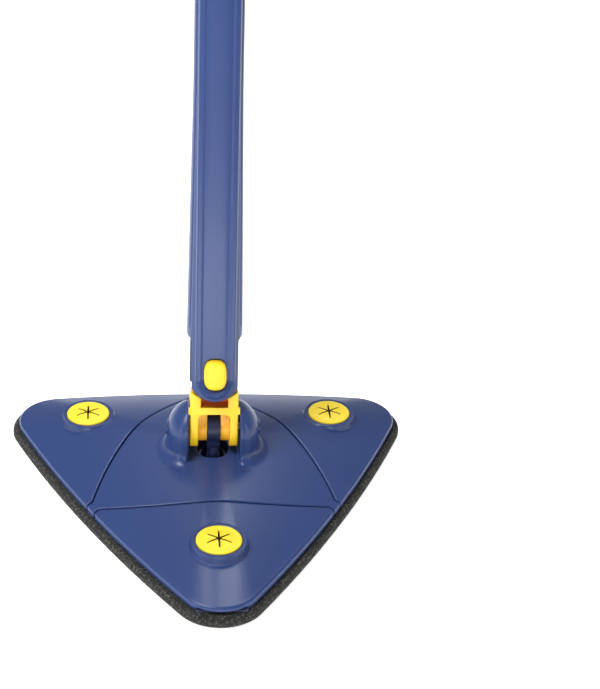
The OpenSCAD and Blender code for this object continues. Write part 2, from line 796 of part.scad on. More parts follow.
module neck_front_shell() {
    color(blue)
        leaned()
            difference() {
                intersection() {
                    union() {
                        difference() {
                            neck_solid();
                            neck_interior();
                            intersection() {
                                depth_prism(channel_half, button_s - button_h / 2 - 2, channel_half);
                                translate([-far / 2, -far, 0])
                                    cube([far, far, neck_top - 14]);
                                difference() {
                                    neck_cone(-2);
                                    neck_cone(channel_depth);
                                }
                            }
                        }
                        neck_bosses(-far / 2, 0);
                    }
                    translate([-far / 2, -far, 0])
                        cube([far, far, far * 2]);
                }
                rounded_box(button_w + 2 * button_gap, button_h + 2 * button_gap,
                    button_round + button_gap, -far / 2, -pocket_y);
                for (s = neck_screw_s, x = [-1, 1])
                    translate([x * neck_screw_x, 0, 0])
                        depth_cylinder(s, 1.4, -9, 1);
            }
}
module neck_back_shell() {
    color(blue)
        leaned()
            difference() {
                intersection() {
                    union() {
                        difference() {
                            neck_solid();
                            neck_interior();
                        }
                        neck_bosses(0, far / 2);
                    }
                    translate([-far / 2, 0, 0])
                        cube([far, far, far * 2]);
                }
                for (s = neck_screw_s, x = [-1, 1])
                    translate([x * neck_screw_x, 0, 0]) {
                        depth_cylinder(s, 1.7, -1, far / 2);
                        depth_cylinder(s, 3, neck_r(s) - 7, far / 2);
                    }
            }
}
module neck_screws() {
    color(steel)
        leaned()
            for (s = neck_screw_s, x = [-1, 1])
                translate([x * neck_screw_x, 0, 0]) {
                    depth_cylinder(s, 1.4, -8.5, neck_r(s) - 7);
                    depth_cylinder(s, 2.8, neck_r(s) - 7, neck_r(s) - 5);
                }
}

button_back = pocket_y + button_travel + 0.3;
button_face = neck_r(button_s) - channel_depth + button_proud;
spring_r = 4.2;
module lock_button() {
    color(yellow)
        leaned()
            difference() {
                union() {
                    rounded_box(button_w, button_h, button_round, -button_face + 1, -button_back);
                    rounded_box(button_w - 2, button_h - 2, button_round - 1, -button_face, -button_back - 1);
                }
                depth_cylinder(button_s, spring_r + 0.6, -button_face + 2, 0);
            }
}
spring_wire = 0.7;
spring_turns = 4;
// Coil spring stood as a stack of rings between the swing pin and the button
module button_spring() {
    color(steel)
        leaned()
            for (k = [0:spring_turns - 1])
                translate([0, -pocket_y - spring_wire / 2 - k * 1.15, button_s])
                    rotate([90, 0, 0])
                        rotate_extrude()
                            translate([spring_r - spring_wire / 2, 0])
                                circle(d = spring_wire, $fn = 16);
}
module tube_socket() {
    color(navy)
        leaned()
            translate([0, 0, socket_low])
                difference() {
                    cylinder(r = socket_r, h = neck_top + 1.5 - socket_low);
                    translate([0, 0, 10])
                        cylinder(d = tube_d, h = far);
                    translate([0, 0, -1])
                        cylinder(d = tube_d - 6, h = far);
                }
}

// ---- pole --------------------------------------------------------------------------
lower_collar_s = neck_top + lower_bare;
upper_collar_s = lower_collar_s + collar_len + middle_bare;
handle_s = upper_collar_s + collar_len + upper_bare;
cap_s = handle_s + handle_len;
module tube(from, to) {
    color(steel)
        leaned()
            translate([0, 0, from])
                difference() {
                    cylinder(d = tube_d, h = to - from);
                    translate([0, 0, -1])
                        cylinder(d = tube_d - 2 * tube_wall, h = to - from + 2);
                }
}
tube_bore = tube_d - 2 * tube_wall;
plug_l = 30;
nose_d = 14;
nose_l = 18;
// Plug pressed in the lower tube of a pair, with a nose that screws into the nut above
module joint_plug(s) {
    color(handle_grey)
        leaned()
            translate([0, 0, s + collar_len / 2]) {
                translate([0, 0, -plug_l])
                    cylinder(d = tube_bore, h = plug_l);
                cylinder(d = nose_d, h = nose_l);
            }
}
module joint_nut(s) {
    color(handle_grey)
        leaned()
            translate([0, 0, s + collar_len / 2 + 0.5])
                difference() {
                    cylinder(d = tube_bore, h = nose_l + 6);
                    translate([0, 0, -1])
                        cylinder(d = nose_d + 2 * fit_gap, h = nose_l + 2);
                }
}
module collar(s) {
    color(yellow)
        leaned()
            translate([0, 0, s])
                difference() {
                    rotate_extrude()
                        polygon([[0, 0], [collar_d / 2 - 1.2, 0], [collar_d / 2, 1.5],
                            [collar_d / 2, collar_len - 1.5], [collar_d / 2 - 1.2, collar_len],
                            [0, collar_len]]);
                    translate([0, 0, -1])
                        cylinder(d = tube_d, h = far);
                }
}
module hand_grip() {
    rib = 1;
    color(handle_grey)
        leaned()
            translate([0, 0, handle_s])
                difference() {
                    rotate_extrude()
                        polygon([[0, 0], [handle_d / 2 - rib, 0], [handle_d / 2, 2],
                            [handle_d / 2, handle_len - 2], [handle_d / 2 - rib, handle_len],
                            [0, handle_len]]);
                    translate([0, 0, -1])
                        cylinder(d = tube_d, h = far);
                }
}
cap_flare = 8;
module end_cap() {
    round_r = handle_d / 2;
    color(yellow)
        leaned()
            translate([0, 0, cap_s])
                difference() {
                    union() {
                        translate([0, 0, -20])
                            cylinder(d = tube_bore, h = 20);
                        cylinder(r = round_r + 0.4, h = cap_flare);
                        intersection() {
                            union() {
                                translate([0, 0, cap_flare])
                                    cylinder(r = round_r + 0.4, h = cap_len - cap_flare - round_r);
                                translate([0, 0, cap_len - round_r])
                                    sphere(r = round_r + 0.4);
                            }
                            translate([-far / 2, -cap_t / 2, 0])
                                cube([far, cap_t, cap_len]);
                        }
                    }
                    translate([0, 0, cap_len - round_r])
                        rotate([90, 0, 0])
                            cylinder(d = hang_d, h = far, center = true);
                }
}

module wing(mouth) {
    color(blue)
        wing_shell(mouth);
}
module wing_tape() {
    tape_strips(wing_tapes);
}

centre_plate();
centre_base();
screws_up(centre_posts);  // centre_screws
centre_hook_tape();
centre_pad();
turned(front_dir) hinge_pin();  // front_hinge_pin
turned(right_dir) hinge_pin();  // right_hinge_pin
turned(left_dir) hinge_pin();  // left_hinge_pin
turned(front_dir) wing(true);  // front_wing
turned(right_dir) wing(false);  // right_wing
turned(left_dir) wing(false);  // left_wing
turned(front_dir) wing_base(true);  // front_wing_base
turned(right_dir) wing_base(false);  // right_wing_base
turned(left_dir) wing_base(false);  // left_wing_base
turned(front_dir) cloth_grip();  // front_cloth_grip
turned(right_dir) cloth_grip();  // right_cloth_grip
turned(left_dir) cloth_grip();  // left_cloth_grip
turned(front_dir) screws_up(post_at);  // front_wing_screws
turned(right_dir) screws_up(post_at);  // right_wing_screws
turned(left_dir) screws_up(post_at);  // left_wing_screws
turned(front_dir) wing_tape();  // front_hook_tape
turned(right_dir) wing_tape();  // right_hook_tape
turned(left_dir) wing_tape();  // left_hook_tape
turned(front_dir) wing_pad();  // front_pad
turned(right_dir) wing_pad();  // right_pad
turned(left_dir) wing_pad();  // left_pad
tilt_pin();
pin_cap(-1);  // left_pin_cap
pin_cap(1);  // right_pin_cap
yoke();
swing_pin();
neck_front_shell();
neck_back_shell();
neck_screws();
lock_button();
button_spring();
tube_socket();
tube(neck_top - tube_in_neck, lower_collar_s + collar_len / 2);  // lower_tube
joint_plug(lower_collar_s);  // lower_joint_plug
joint_nut(lower_collar_s);  // lower_joint_nut
collar(lower_collar_s);  // lower_collar
tube(lower_collar_s + collar_len / 2 + 0.5, upper_collar_s + collar_len / 2);  // middle_tube
joint_plug(upper_collar_s);  // upper_joint_plug
joint_nut(upper_collar_s);  // upper_joint_nut
collar(upper_collar_s);  // upper_collar
tube(upper_collar_s + collar_len / 2 + 0.5, cap_s);  // upper_tube
hand_grip();
end_cap();
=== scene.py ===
"""Swivel floor mop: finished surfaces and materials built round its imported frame."""
import json
import math

import bmesh
import bpy
import numpy as np
from bpy.props import FloatProperty, FloatVectorProperty, IntProperty, PointerProperty
from mathutils import Matrix, Vector


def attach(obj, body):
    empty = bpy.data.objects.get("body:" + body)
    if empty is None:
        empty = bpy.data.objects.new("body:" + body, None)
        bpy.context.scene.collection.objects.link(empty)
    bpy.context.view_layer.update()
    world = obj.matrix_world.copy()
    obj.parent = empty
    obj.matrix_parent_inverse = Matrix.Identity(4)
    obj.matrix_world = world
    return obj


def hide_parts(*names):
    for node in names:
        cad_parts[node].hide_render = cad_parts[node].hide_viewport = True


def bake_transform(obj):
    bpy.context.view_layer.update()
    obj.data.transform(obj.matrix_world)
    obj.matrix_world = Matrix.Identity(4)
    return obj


bl_info = {
    "name": "Swivel Floor Mop",
    "version": (1, 0, 0),
    "blender": (4, 5, 0),
    "location": "View3D > Sidebar > Mop",
    "description": "Builds the finished surfaces and materials of a triangular swivel floor mop",
    "category": "Object",
}

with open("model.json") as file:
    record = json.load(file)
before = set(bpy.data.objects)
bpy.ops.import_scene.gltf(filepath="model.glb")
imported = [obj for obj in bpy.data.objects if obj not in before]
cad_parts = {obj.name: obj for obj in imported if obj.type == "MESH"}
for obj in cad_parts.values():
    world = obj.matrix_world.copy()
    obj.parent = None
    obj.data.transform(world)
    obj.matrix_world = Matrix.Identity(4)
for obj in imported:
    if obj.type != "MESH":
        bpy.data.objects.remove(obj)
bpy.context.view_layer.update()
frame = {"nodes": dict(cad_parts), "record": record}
WINGS = {"front": -90.0, "right": 30.0, "left": 150.0}
MM = 0.001


# ---- sizes ------------------------------------------------------------------------

def length(label, mm, text):
    """A length that a user may change, kept in metres and given here in millimetres."""
    return FloatProperty(name=label, description=text, default=mm * MM, min=0.0, precision=5,
                         subtype="DISTANCE", unit="LENGTH")


def colour(label, code, text):
    """A colour that a user may change, given as a six-digit display colour."""
    return FloatVectorProperty(name=label, description=text, default=linear(code)[:3], size=3,
                               min=0.0, max=1.0, subtype="COLOR")


def linear(code):
    """Scene colour of a six-digit display colour, by the usual power curve with its short straight foot."""
    c = [int(code[i:i + 2], 16) / 255 for i in (1, 3, 5)]
    return tuple(v / 12.92 if v <= 0.04045 else ((v + 0.055) / 1.055) ** 2.4 for v in c) + (1.0,)


class HeadSizes(bpy.types.PropertyGroup):
    """Sizes of the head's top shells."""
    tip_r: length("Tip reach", 164, "From the middle of the head to a wing tip")
    corner_r: length("Tip rounding", 29, "Radius of a wing tip")
    side_r: length("Side bow", 1100, "Radius of the long sides")
    rim_z: length("Rim height", 14, "Height of the rim above the floor")
    dome_h: length("Dome rise", 19.5, "Rise of the crown above the rim")
    plate_z: length("Skirt height", 8.9, "Height of the shells' lower edge")
    seam_lift: length("Seam edge lift", 3.6, "How far a wing's lower edge stands up along its seam")
    shell_t: length("Shell wall", 2.6, "Wall of the moulded shells")
    rim_roll: length("Rim rounding", 2.4, "Radius rolled over the rim")
    seam_roll: length("Seam rounding", 1.0, "Radius rolled over the edges of the seams")
    seam_gap: length("Seam gap", 1.2, "Slot between a wing and the centre plate")
    seam_bow: length("Seam bow", 13, "How far each seam bows toward its wing")
    block_w: length("Block width", 9, "Width of the centre plate's blunt corners")
    mouth_w: length("Mouth width", 34, "Width of the low opening in the front wing's skirt")
    mouth_h: length("Mouth height", 2.3, "Height of that opening")


class GripSizes(bpy.types.PropertyGroup):
    """Sizes of the star-slit cloth grips and their bosses."""
    reach: length("Grip reach", 107, "From the middle of the head to a cloth grip")
    disc_d: length("Disc diameter", 32, "Diameter of the grip's disc")
    boss_z: length("Boss height", 27.5, "Height of the top of a boss")
    slit_w: length("Slit width", 0.95, "Width of the star's slits")
    slit_r: length("Slit reach", 9.6, "How far the slits run from the middle")
    hole_d: length("Hole diameter", 3.0, "Diameter of the hole in the middle of the star")
    petals: IntProperty(name="Petals", description="Petals in a star", default=6, min=3, max=12)


class JointSizes(bpy.types.PropertyGroup):
    """Sizes of the two-axis swivel joint and the neck."""
    pivot_z: length("Pivot height", 50, "Height of the tilt pin")
    lean: FloatProperty(name="Lean", description="Lean of the pole at rest", default=math.radians(13),
                        subtype="ANGLE", unit="ROTATION")
    ear_r: length("Ear radius", 20, "Radius of an ear about the tilt pin")
    ear_t: length("Ear depth", 15, "Depth of an ear along the tilt pin")
    ear_in: length("Ear inside", 18.9, "From the middle to the inside of an ear")
    ear_foot: length("Ear foot", 8, "Radius that an ear flares with over the plate")
    bowl_w: length("Bowl half width", 10.9, "Half width of the bowl under the lug")
    bowl_l: length("Bowl half length", 14, "Half length of the bowl under the lug")
    lug_half: length("Lug half width", 4.6, "Half width of the lug")
    yoke_half: length("Yoke half width", 17.4, "Half width of the yoke over its legs")
    leg_t: length("Leg thickness", 5.9, "Thickness of one yoke leg")
    leg_r: length("Leg radius", 14, "Radius of the yoke's legs about the tilt pin")
    arch_top: length("Arch height", 14.5, "From the tilt pin to the underside of the yoke's bar")
    arch_r: length("Arch radius", 5, "Radius of the arch's upper corners")
    bar_top: length("Bar top", 19.6, "From the tilt pin to the top of the yoke's bar")
    slot_half: length("Slot half width", 9.8, "Half width of the slot over the bar")
    swing_s: length("Swing height", 48, "From the tilt pin to the swing pin")
    neck_top: length("Neck top", 400, "From the tilt pin to the top of the neck")
    neck_mid: length("Neck taper end", 250, "From the tilt pin to the end of the neck's taper")
    neck_r_low: length("Neck low radius", 20.7, "Radius of the neck at the swing pin")
    neck_r_mid: length("Neck middle radius", 17.5, "Radius of the neck where its taper ends")
    neck_r_top: length("Neck top radius", 17, "Radius of the neck at its top")
    neck_wall: length("Neck wall", 3.4, "Wall of the neck shells")
    tongue_half: length("Tongue half width", 17.3, "Half width of the tongues that clasp the yoke")
    tongue_gap: length("Tongue gap", 7.3, "From the neck's middle to the inside of a tongue")
    chin_drop: length("Chin drop", 22, "From the swing pin down to the end of the tongues")
    chin_r: length("Chin radius", 24, "Radius of the end of the tongues")
    hem_r: length("Hem radius", 28, "Radius about the swing pin where the side walls stop")
    channel_half: length("Channel half width", 10, "Half width of the front channel")
    channel_d: length("Channel depth", 1.5, "Depth of the front channel")
    button_s: length("Button height", 46, "From the tilt pin to the middle of the button")
    button_w: length("Button width", 16.2, "Width of the push button")
    button_h: length("Button length", 21.8, "Length of the push button")
    button_proud: length("Button stand", 3.2, "How far the button stands proud of the channel")


class PadSizes(bpy.types.PropertyGroup):
    """Sizes of the plush pad and its binding."""
    lip: length("Lip", 5, "How far the pad stands out past the rim")
    height: length("Height", 8.7, "Height of the pad's bound edge")
    roll: length("Edge rounding", 5, "Width of the rounded edge")
    band: length("Binding width", 8, "Width of the binding on the underside")
    pile: length("Pile relief", 0.9, "Relief of the plush underside")
    fold_from: length("Fold start", 52, "Where the pad starts to bend, from the middle of the head")
    fold_to: length("Fold end", 73, "Where the pad stops bending")


class PoleSizes(bpy.types.PropertyGroup):
    """Sizes of the pole's collars and hand grip."""
    lower_collar_s: length("Lower collar", 445, "From the tilt pin to the lower collar")
    upper_collar_s: length("Upper collar", 880, "From the tilt pin to the upper collar")
    collar_len: length("Collar length", 40, "Length of a collar")
    collar_r: length("Collar radius", 13.5, "Radius of a collar")
    tube_r: length("Tube radius", 11, "Radius of the steel tubes")
    grip_s: length("Hand grip", 1080, "From the tilt pin to the hand grip")
    grip_len: length("Hand grip length", 160, "Length of the hand grip")
    grip_r: length("Hand grip radius", 13, "Radius of the hand grip")


class FinishColours(bpy.types.PropertyGroup):
    """Colours of the mop's finishes."""
    blue: colour("Blue", "#2C3F70", "Moulded top shells and neck")
    # Dark navy on the lower frames and the lug; on the lug it is painted shade of the blue plastic.
    navy: colour("Navy", "#141C3C", "Lower frames and lug")
    yellow: colour("Yellow", "#FCD01E", "Yoke, button, collars and cap")
    grip_yellow: colour("Soft yellow", "#FBDC2C", "Star-slit grips")
    steel: colour("Steel", "#D3D6D9", "Pole tubes")
    plush: colour("Plush", "#8A8A8A", "Pile of the pad")
    binding: colour("Binding", "#242421", "Woven binding of the pad")
    handle: colour("Handle", "#D6D6CB", "Hand grip and inner plugs")


def head():
    return Millimetres(bpy.context.scene.mop_head)


def grips():
    return Millimetres(bpy.context.scene.mop_grips)


def joint():
    return Millimetres(bpy.context.scene.mop_joint)


def pad():
    return Millimetres(bpy.context.scene.mop_pad)


def pole():
    return Millimetres(bpy.context.scene.mop_pole)


def finish():
    return bpy.context.scene.mop_finish


class Millimetres:
    """Reads a group's lengths in millimetres and its other values as they are."""

    def __init__(self, group):
        self.group = group

    def __getattr__(self, name):
        value = getattr(self.group, name)
        unit = self.group.bl_rna.properties[name].unit
        return value / MM if unit == "LENGTH" else value


# ---- shapes in one and two dimensions ------------------------------------------------

def ease(t):
    """Smooth step: 3t^2 - 2t^3 of t held between 0 and 1."""
    t = np.clip(t, 0.0, 1.0)
    return t * t * (3 - 2 * t)


def rim(h, a, grow=0.0):
    """Distance to the head's outline at angle a (degrees) from a wing's direction.

    The outline is a triangle of three tip circles joined by three large side circles. Near a tip
    the distance is c0 cos f + sqrt(rc^2 - c0^2 sin^2 f), elsewhere it is measured to the side
    circle, whose centre lies q behind the middle. grow moves the outline outward.
    """
    c0, rc, rs = h.tip_r - h.corner_r, h.corner_r + grow, h.side_r + grow
    q = (-c0 + math.sqrt(c0 * c0 - 4 * (c0 * c0 - (h.side_r - h.corner_r) ** 2))) / 2
    s60 = math.sin(math.radians(60))
    u = np.array([c0 + q / 2, q * s60]) / math.hypot(c0 + q / 2, q * s60)
    meet = np.degrees(np.arctan2(-q * s60 + rs * u[1], -q / 2 + rs * u[0]))
    f = np.abs((np.asarray(a, float) + 60) % 120 - 60)
    fr, br = np.radians(f), np.radians(60 - f)
    tip = c0 * np.cos(fr) + np.sqrt(np.maximum(rc * rc - (c0 * np.sin(fr)) ** 2, 0))
    side = -q * np.cos(br) + np.sqrt(rs * rs - (q * np.sin(br)) ** 2)
    return np.where(f < meet, tip, side)


def seam(h, a):
    """Distance to a seam's arc at angle a (degrees) from its wing's direction."""
    mid = float(rim(h, 60))
    half = mid * math.sin(math.radians(60))
    r = (half * half + h.seam_bow ** 2) / (2 * h.seam_bow)
    c = mid / 2 + h.seam_bow - r
    t = np.radians(a)
    return c * np.cos(t) + np.sqrt(r * r - (c * np.sin(t)) ** 2)


def dome(h, x, y, turn=0.0):
    """Height of the head's top over (x, y): rim height + rise * (1 - (r / outline)^1.75)."""
    a = np.degrees(np.arctan2(y, x)) - turn
    return h.rim_z + h.dome_h * (1 - (np.hypot(x, y) / rim(h, a)) ** 1.75)


def resample(points, count):
    """Closed polyline sampled again at equal steps of its length."""
    loop = np.vstack([points, points[:1]])
    along = np.concatenate([[0], np.cumsum(np.linalg.norm(np.diff(loop, axis=0), axis=1))])
    at = np.linspace(0, along[-1], count, endpoint=False)
    return np.stack([np.interp(at, along, loop[:, i]) for i in range(loop.shape[1])], axis=1)


def soften(values, sigma, total):
    """Closed curve or closed run of values smoothed along its length by a Gaussian of width sigma."""
    n = len(values)
    k = np.fft.fftfreq(n, d=total / n)
    g = np.exp(-0.5 * (2 * np.pi * k * sigma) ** 2)
    shape = (n,) + (1,) * (np.ndim(values) - 1)
    return np.real(np.fft.ifft(np.fft.fft(values, axis=0) * g.reshape(shape), axis=0))


def outward(curve):
    """Unit normals of a closed plane curve that runs anticlockwise, pointing out of it."""
    d = np.roll(curve, -1, axis=0) - np.roll(curve, 1, axis=0)
    n = np.stack([d[:, 1], -d[:, 0]], axis=1)
    return n / np.linalg.norm(n, axis=1, keepdims=True)


def perimeter(curve):
    return float(np.linalg.norm(np.roll(curve, -1, axis=0) - curve, axis=1).sum())


def turned(points, degrees):
    """Points turned about the vertical axis."""
    t = math.radians(degrees)
    m = np.array([[math.cos(t), math.sin(t), 0], [-math.sin(t), math.cos(t), 0], [0, 0, 1]])
    return points @ m


def leaned(x, y, s):
    """Places across, back and along the pole, in the row frame: the pole's frame leans about the tilt pin."""
    j = joint()
    c, d = math.cos(j.lean), math.sin(j.lean)
    x, y, s = np.broadcast_arrays(x, y, s)
    return np.stack([x, y * c + s * d, j.pivot_z - y * d + s * c], axis=-1)


def patch(rows):
    """Stacks rows of points, all of one length, into a grid."""
    return np.stack([np.asarray(r, float) for r in rows], axis=0)


# ---- meshes --------------------------------------------------------------------------

def surface(name, grids, sharp=38.0, weld=0.02):
    """Mesh object from one or more grids of points in millimetres.

    Each grid is (points, close_rows, close_columns, caps): quads join neighbouring points, wrap
    round where a side is closed, and caps end an open tube with one flat face at each end. The map
    coordinates are lengths along and across the grid in metres.
    """
    verts, faces, uvs, marks = [], [], [], []
    base = 0
    for points, close_rows, close_cols, caps in grids:
        n, m = points.shape[:2]
        ids = base + np.arange(n * m).reshape(n, m)
        i1 = np.roll(ids, -1, axis=0) if close_rows else ids[1:]
        i0 = ids if close_rows else ids[:-1]
        a, d = i0, i1
        b, c = np.roll(a, -1, axis=1), np.roll(d, -1, axis=1)
        if not close_cols:
            a, b, c, d = a[:, :-1], b[:, :-1], c[:, :-1], d[:, :-1]
        quads = np.stack([a, b, c, d], axis=-1).reshape(-1, 4)
        step_u = np.linalg.norm(np.diff(points, axis=1, append=points[:, :1]), axis=2)
        step_v = np.linalg.norm(np.diff(points, axis=0, append=points[:1]), axis=2)
        u = np.concatenate([[0], np.cumsum(step_u.max(axis=0))]) * MM
        v = np.concatenate([[0], np.cumsum(step_v.max(axis=1))]) * MM
        rows_of = np.broadcast_to(np.arange(a.shape[0])[:, None], a.shape).ravel()
        cols_of = np.broadcast_to(np.arange(a.shape[1])[None, :], a.shape).ravel()
        uv = np.stack([np.stack([u[cols_of], v[rows_of]], 1), np.stack([u[cols_of + 1], v[rows_of]], 1),
                       np.stack([u[cols_of + 1], v[rows_of + 1]], 1),
                       np.stack([u[cols_of], v[rows_of + 1]], 1)], 1)
        verts.append(points.reshape(-1, 3))
        faces += quads.tolist()
        uvs.append(uv.reshape(-1, 2))
        marks.append(rows_of)
        if caps == "rows":
            for ring in (ids[0][::-1], ids[-1]):
                faces.append(ring.tolist())
                uvs.append(np.zeros((m, 2)))
                marks.append(np.array([-1]))
        elif caps == "columns":
            for ring in (ids[:, 0], ids[::-1, -1]):
                faces.append(ring.tolist())
                uvs.append(np.zeros((n, 2)))
                marks.append(np.array([-1]))
        base += n * m
    mesh = bpy.data.meshes.new(name)
    mesh.from_pydata(np.vstack(verts) * MM, [], faces)
    layer = mesh.uv_layers.new(name="Along")
    layer.data.foreach_set("uv", np.vstack(uvs).ravel().astype(np.float32))
    mark = mesh.attributes.new("row", "INT", "FACE")
    mark.data.foreach_set("value", np.concatenate(marks).astype(np.int32))
    bm = bmesh.new()
    bm.from_mesh(mesh)
    bmesh.ops.remove_doubles(bm, verts=bm.verts, dist=weld * MM)
    bmesh.ops.recalc_face_normals(bm, faces=bm.faces)
    bm.to_mesh(mesh)
    bm.free()
    return placed(name, mesh, sharp)


def placed(name, mesh, sharp):
    """Object for a finished mesh, smooth but for its edges sharper than that angle."""
    mesh.shade_smooth()
    mesh.set_sharp_from_angle(angle=math.radians(sharp))
    thing = bpy.data.objects.new(name, mesh)
    bpy.context.scene.collection.objects.link(thing)
    return thing


def eased_copy(name, node, radius):
    """Copy of a CAD node with its doubled points merged, its flat faces joined and its edges rounded."""
    bm = bmesh.new()
    bm.from_mesh(frame["nodes"][node].data)
    bmesh.ops.remove_doubles(bm, verts=bm.verts, dist=1e-6)
    bmesh.ops.dissolve_limit(bm, angle_limit=math.radians(1.0), verts=bm.verts, edges=bm.edges)
    mesh = bpy.data.meshes.new(name)
    bm.to_mesh(mesh)
    bm.free()
    mesh.materials.clear()
    thing = placed(name, mesh, 180)
    mod = thing.modifiers.new("edge rounding", "BEVEL")
    mod.width = radius * MM
    mod.segments = 3
    mod.limit_method = "ANGLE"
    mod.angle_limit = math.radians(35)
    mod.use_clamp_overlap = True
    mod.harden_normals = True
    bpy.context.view_layer.update()
    graph = bpy.context.evaluated_depsgraph_get()
    done = bpy.data.meshes.new_from_object(thing.evaluated_get(graph))
    thing.modifiers.clear()
    thing.data = done
    done.name = name
    return thing


def finished(thing, body, material, *nodes, slot=None):
    """Gives a piece its material, hides the nodes that it stands for and hangs it on the body that it rides
    on.
    """
    thing.data.materials.append(material)
    if nodes:
        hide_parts(*nodes)
    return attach(thing, body)


# ---- materials -----------------------------------------------------------------------

class Tree:
    """Small builder for a node material."""

    def __init__(self, name):
        self.material = bpy.data.materials.new(name)
        self.material.use_nodes = True
        self.tree = self.material.node_tree
        self.shader = self.tree.nodes["Principled BSDF"]
        self.at = -300

    def add(self, kind, inputs=None, **settings):
        """Adds a node, sets its properties, and sets or links its inputs by name or number."""
        node = self.tree.nodes.new(kind)
        node.location = (self.at, 0)
        self.at -= 60
        for key, value in settings.items():
            setattr(node, key, value)
        for key, value in (inputs or {}).items():
            self.put(node.inputs[key], value)
        return node

    def put(self, socket, value):
        if isinstance(value, bpy.types.NodeSocket):
            self.tree.links.new(value, socket)
        else:
            socket.default_value = value

    def set(self, **inputs):
        """Sets or links the shader's own sockets; underscores stand for spaces."""
        for key, value in inputs.items():
            self.put(self.shader.inputs[key.replace("_", " ")], value)

    def ramp(self, factor, stops):
        node = self.add("ShaderNodeValToRGB", {"Fac": factor})
        node.color_ramp.elements[0].position, node.color_ramp.elements[0].color = stops[0]
        node.color_ramp.elements[1].position, node.color_ramp.elements[1].color = stops[-1]
        for at, value in stops[1:-1]:
            node.color_ramp.elements.new(at).color = value
        return node.outputs["Color"]

    def noise(self, scale, detail=2.0, rough=0.5, vector=None, distortion=0.0):
        where = vector or self.add("ShaderNodeTexCoord").outputs["Object"]
        return self.add("ShaderNodeTexNoise", {"Vector": where, "Scale": scale, "Detail": detail,
                                               "Roughness": rough, "Distortion": distortion}).outputs["Fac"]

    def blend(self, factor, low, high):
        return self.add("ShaderNodeMix", {"Factor": factor, 6: low, 7: high}, data_type="RGBA").outputs[2]

    def scaled(self, factor, low, high):
        spread = self.add("ShaderNodeMapRange", {"Value": factor, "To Min": low, "To Max": high})
        return spread.outputs["Result"]

    def maths(self, kind, a, b=0.0):
        return self.add("ShaderNodeMath", {0: a, 1: b}, operation=kind).outputs[0]

    def bump(self, height, strength, distance, below=None):
        inputs = {"Height": height, "Strength": strength, "Distance": distance}
        if below is not None:
            inputs["Normal"] = below
        return self.add("ShaderNodeBump", inputs).outputs["Normal"]


def shaded(rgb, factor):
    """Colour made darker or lighter by a factor."""
    return tuple(min(c * factor, 1.0) for c in rgb[:3]) + (1.0,)


def moulded(name, rgb, low=0.34, high=0.46, spread=0.07, grain=0.00003, coat=0.0, recess_shade_colour=None, shine=0.45):
    """Moulded plastic: slow colour drift from the melt's flow, fine spark-eroded grain and faint rub marks.

    With a second colour, faces marked as recesses take it in part or in full: painted shade, the orange that
    the yellow plastic shows where it lies in shade.
    """
    t = Tree(name)
    drift = t.noise(9.0, 3.0, 0.55)
    fine = t.noise(1400.0, 2.0, 0.6)
    rub = t.noise(45.0, 2.0, 0.5)
    base = t.blend(drift, shaded(rgb, 1 - spread), shaded(rgb, 1 + spread))
    if recess_shade_colour:
        deep = t.add("ShaderNodeAttribute", attribute_name="deep").outputs["Fac"]
        # Painted shade: faces marked as recesses are mixed toward the orange shade colour.
        base = t.blend(deep, base, linear(recess_shade_colour))
    specks = t.ramp(fine, [(0.35, (0.985, 0.985, 0.985, 1)), (0.65, (1, 1, 1, 1))])
    toned = t.add("ShaderNodeMix", {"Factor": 1.0, 6: base, 7: specks}, data_type="RGBA",
                  blend_type="MULTIPLY")
    t.set(Base_Color=toned.outputs[2], Roughness=t.scaled(rub, low, high), Coat_Weight=coat,
          Coat_Roughness=0.12, IOR=1.47, Specular_IOR_Level=shine)
    t.set(Normal=t.bump(fine, 0.05, grain))
    return t.material


def rubbery(name, rgb):
    """Soft moulded rubber: matt, with a fine grain, and painted shade, near black, where the slit attribute
    marks the slits and the middle hole.
    """
    t = Tree(name)
    fine = t.noise(900.0, 3.0, 0.6)
    drift = t.noise(40.0, 2.0, 0.5)
    depth = t.add("ShaderNodeAttribute", attribute_name="slit").outputs["Fac"]
    base = t.blend(drift, shaded(rgb, 0.93), shaded(rgb, 1.04))
    # Painted shade: the slits and the hole are mixed toward near black.
    inner = t.blend(depth, base, (0.02, 0.016, 0.008, 1))
    t.set(Base_Color=inner, Roughness=t.scaled(fine, 0.42, 0.55), IOR=1.47, Subsurface_Weight=0.05,
          Subsurface_Radius=(0.002, 0.0012, 0.0004), Subsurface_Scale=1.0)
    t.set(Normal=t.bump(fine, 0.3, 0.00004))
    return t.material


def drawn_steel(name, rgb, rough=0.20, grain=1.0):
    """Drawn and polished steel: fine lines along the draw and faint smudges."""
    t = Tree(name)
    place = t.add("ShaderNodeTexCoord").outputs["Object"]
    lines_at = t.add("ShaderNodeMapping", {"Vector": place, "Scale": (2600.0, 2600.0, 18.0),
                                           "Rotation": (math.radians(-13), 0.0, 0.0)})
    lines = t.noise(1.0 * grain, 3.0, 0.6, lines_at.outputs["Vector"])
    smudge = t.noise(35.0, 4.0, 0.6)
    base = t.blend(smudge, shaded(rgb, 0.90), shaded(rgb, 1.03))
    t.set(Base_Color=base, Metallic=1.0, Roughness=t.maths("ADD", t.scaled(lines, rough - 0.06, rough + 0.06),
                                                           t.scaled(smudge, -0.03, 0.01)))
    t.set(Normal=t.bump(lines, 0.12, 0.00001))
    return t.material


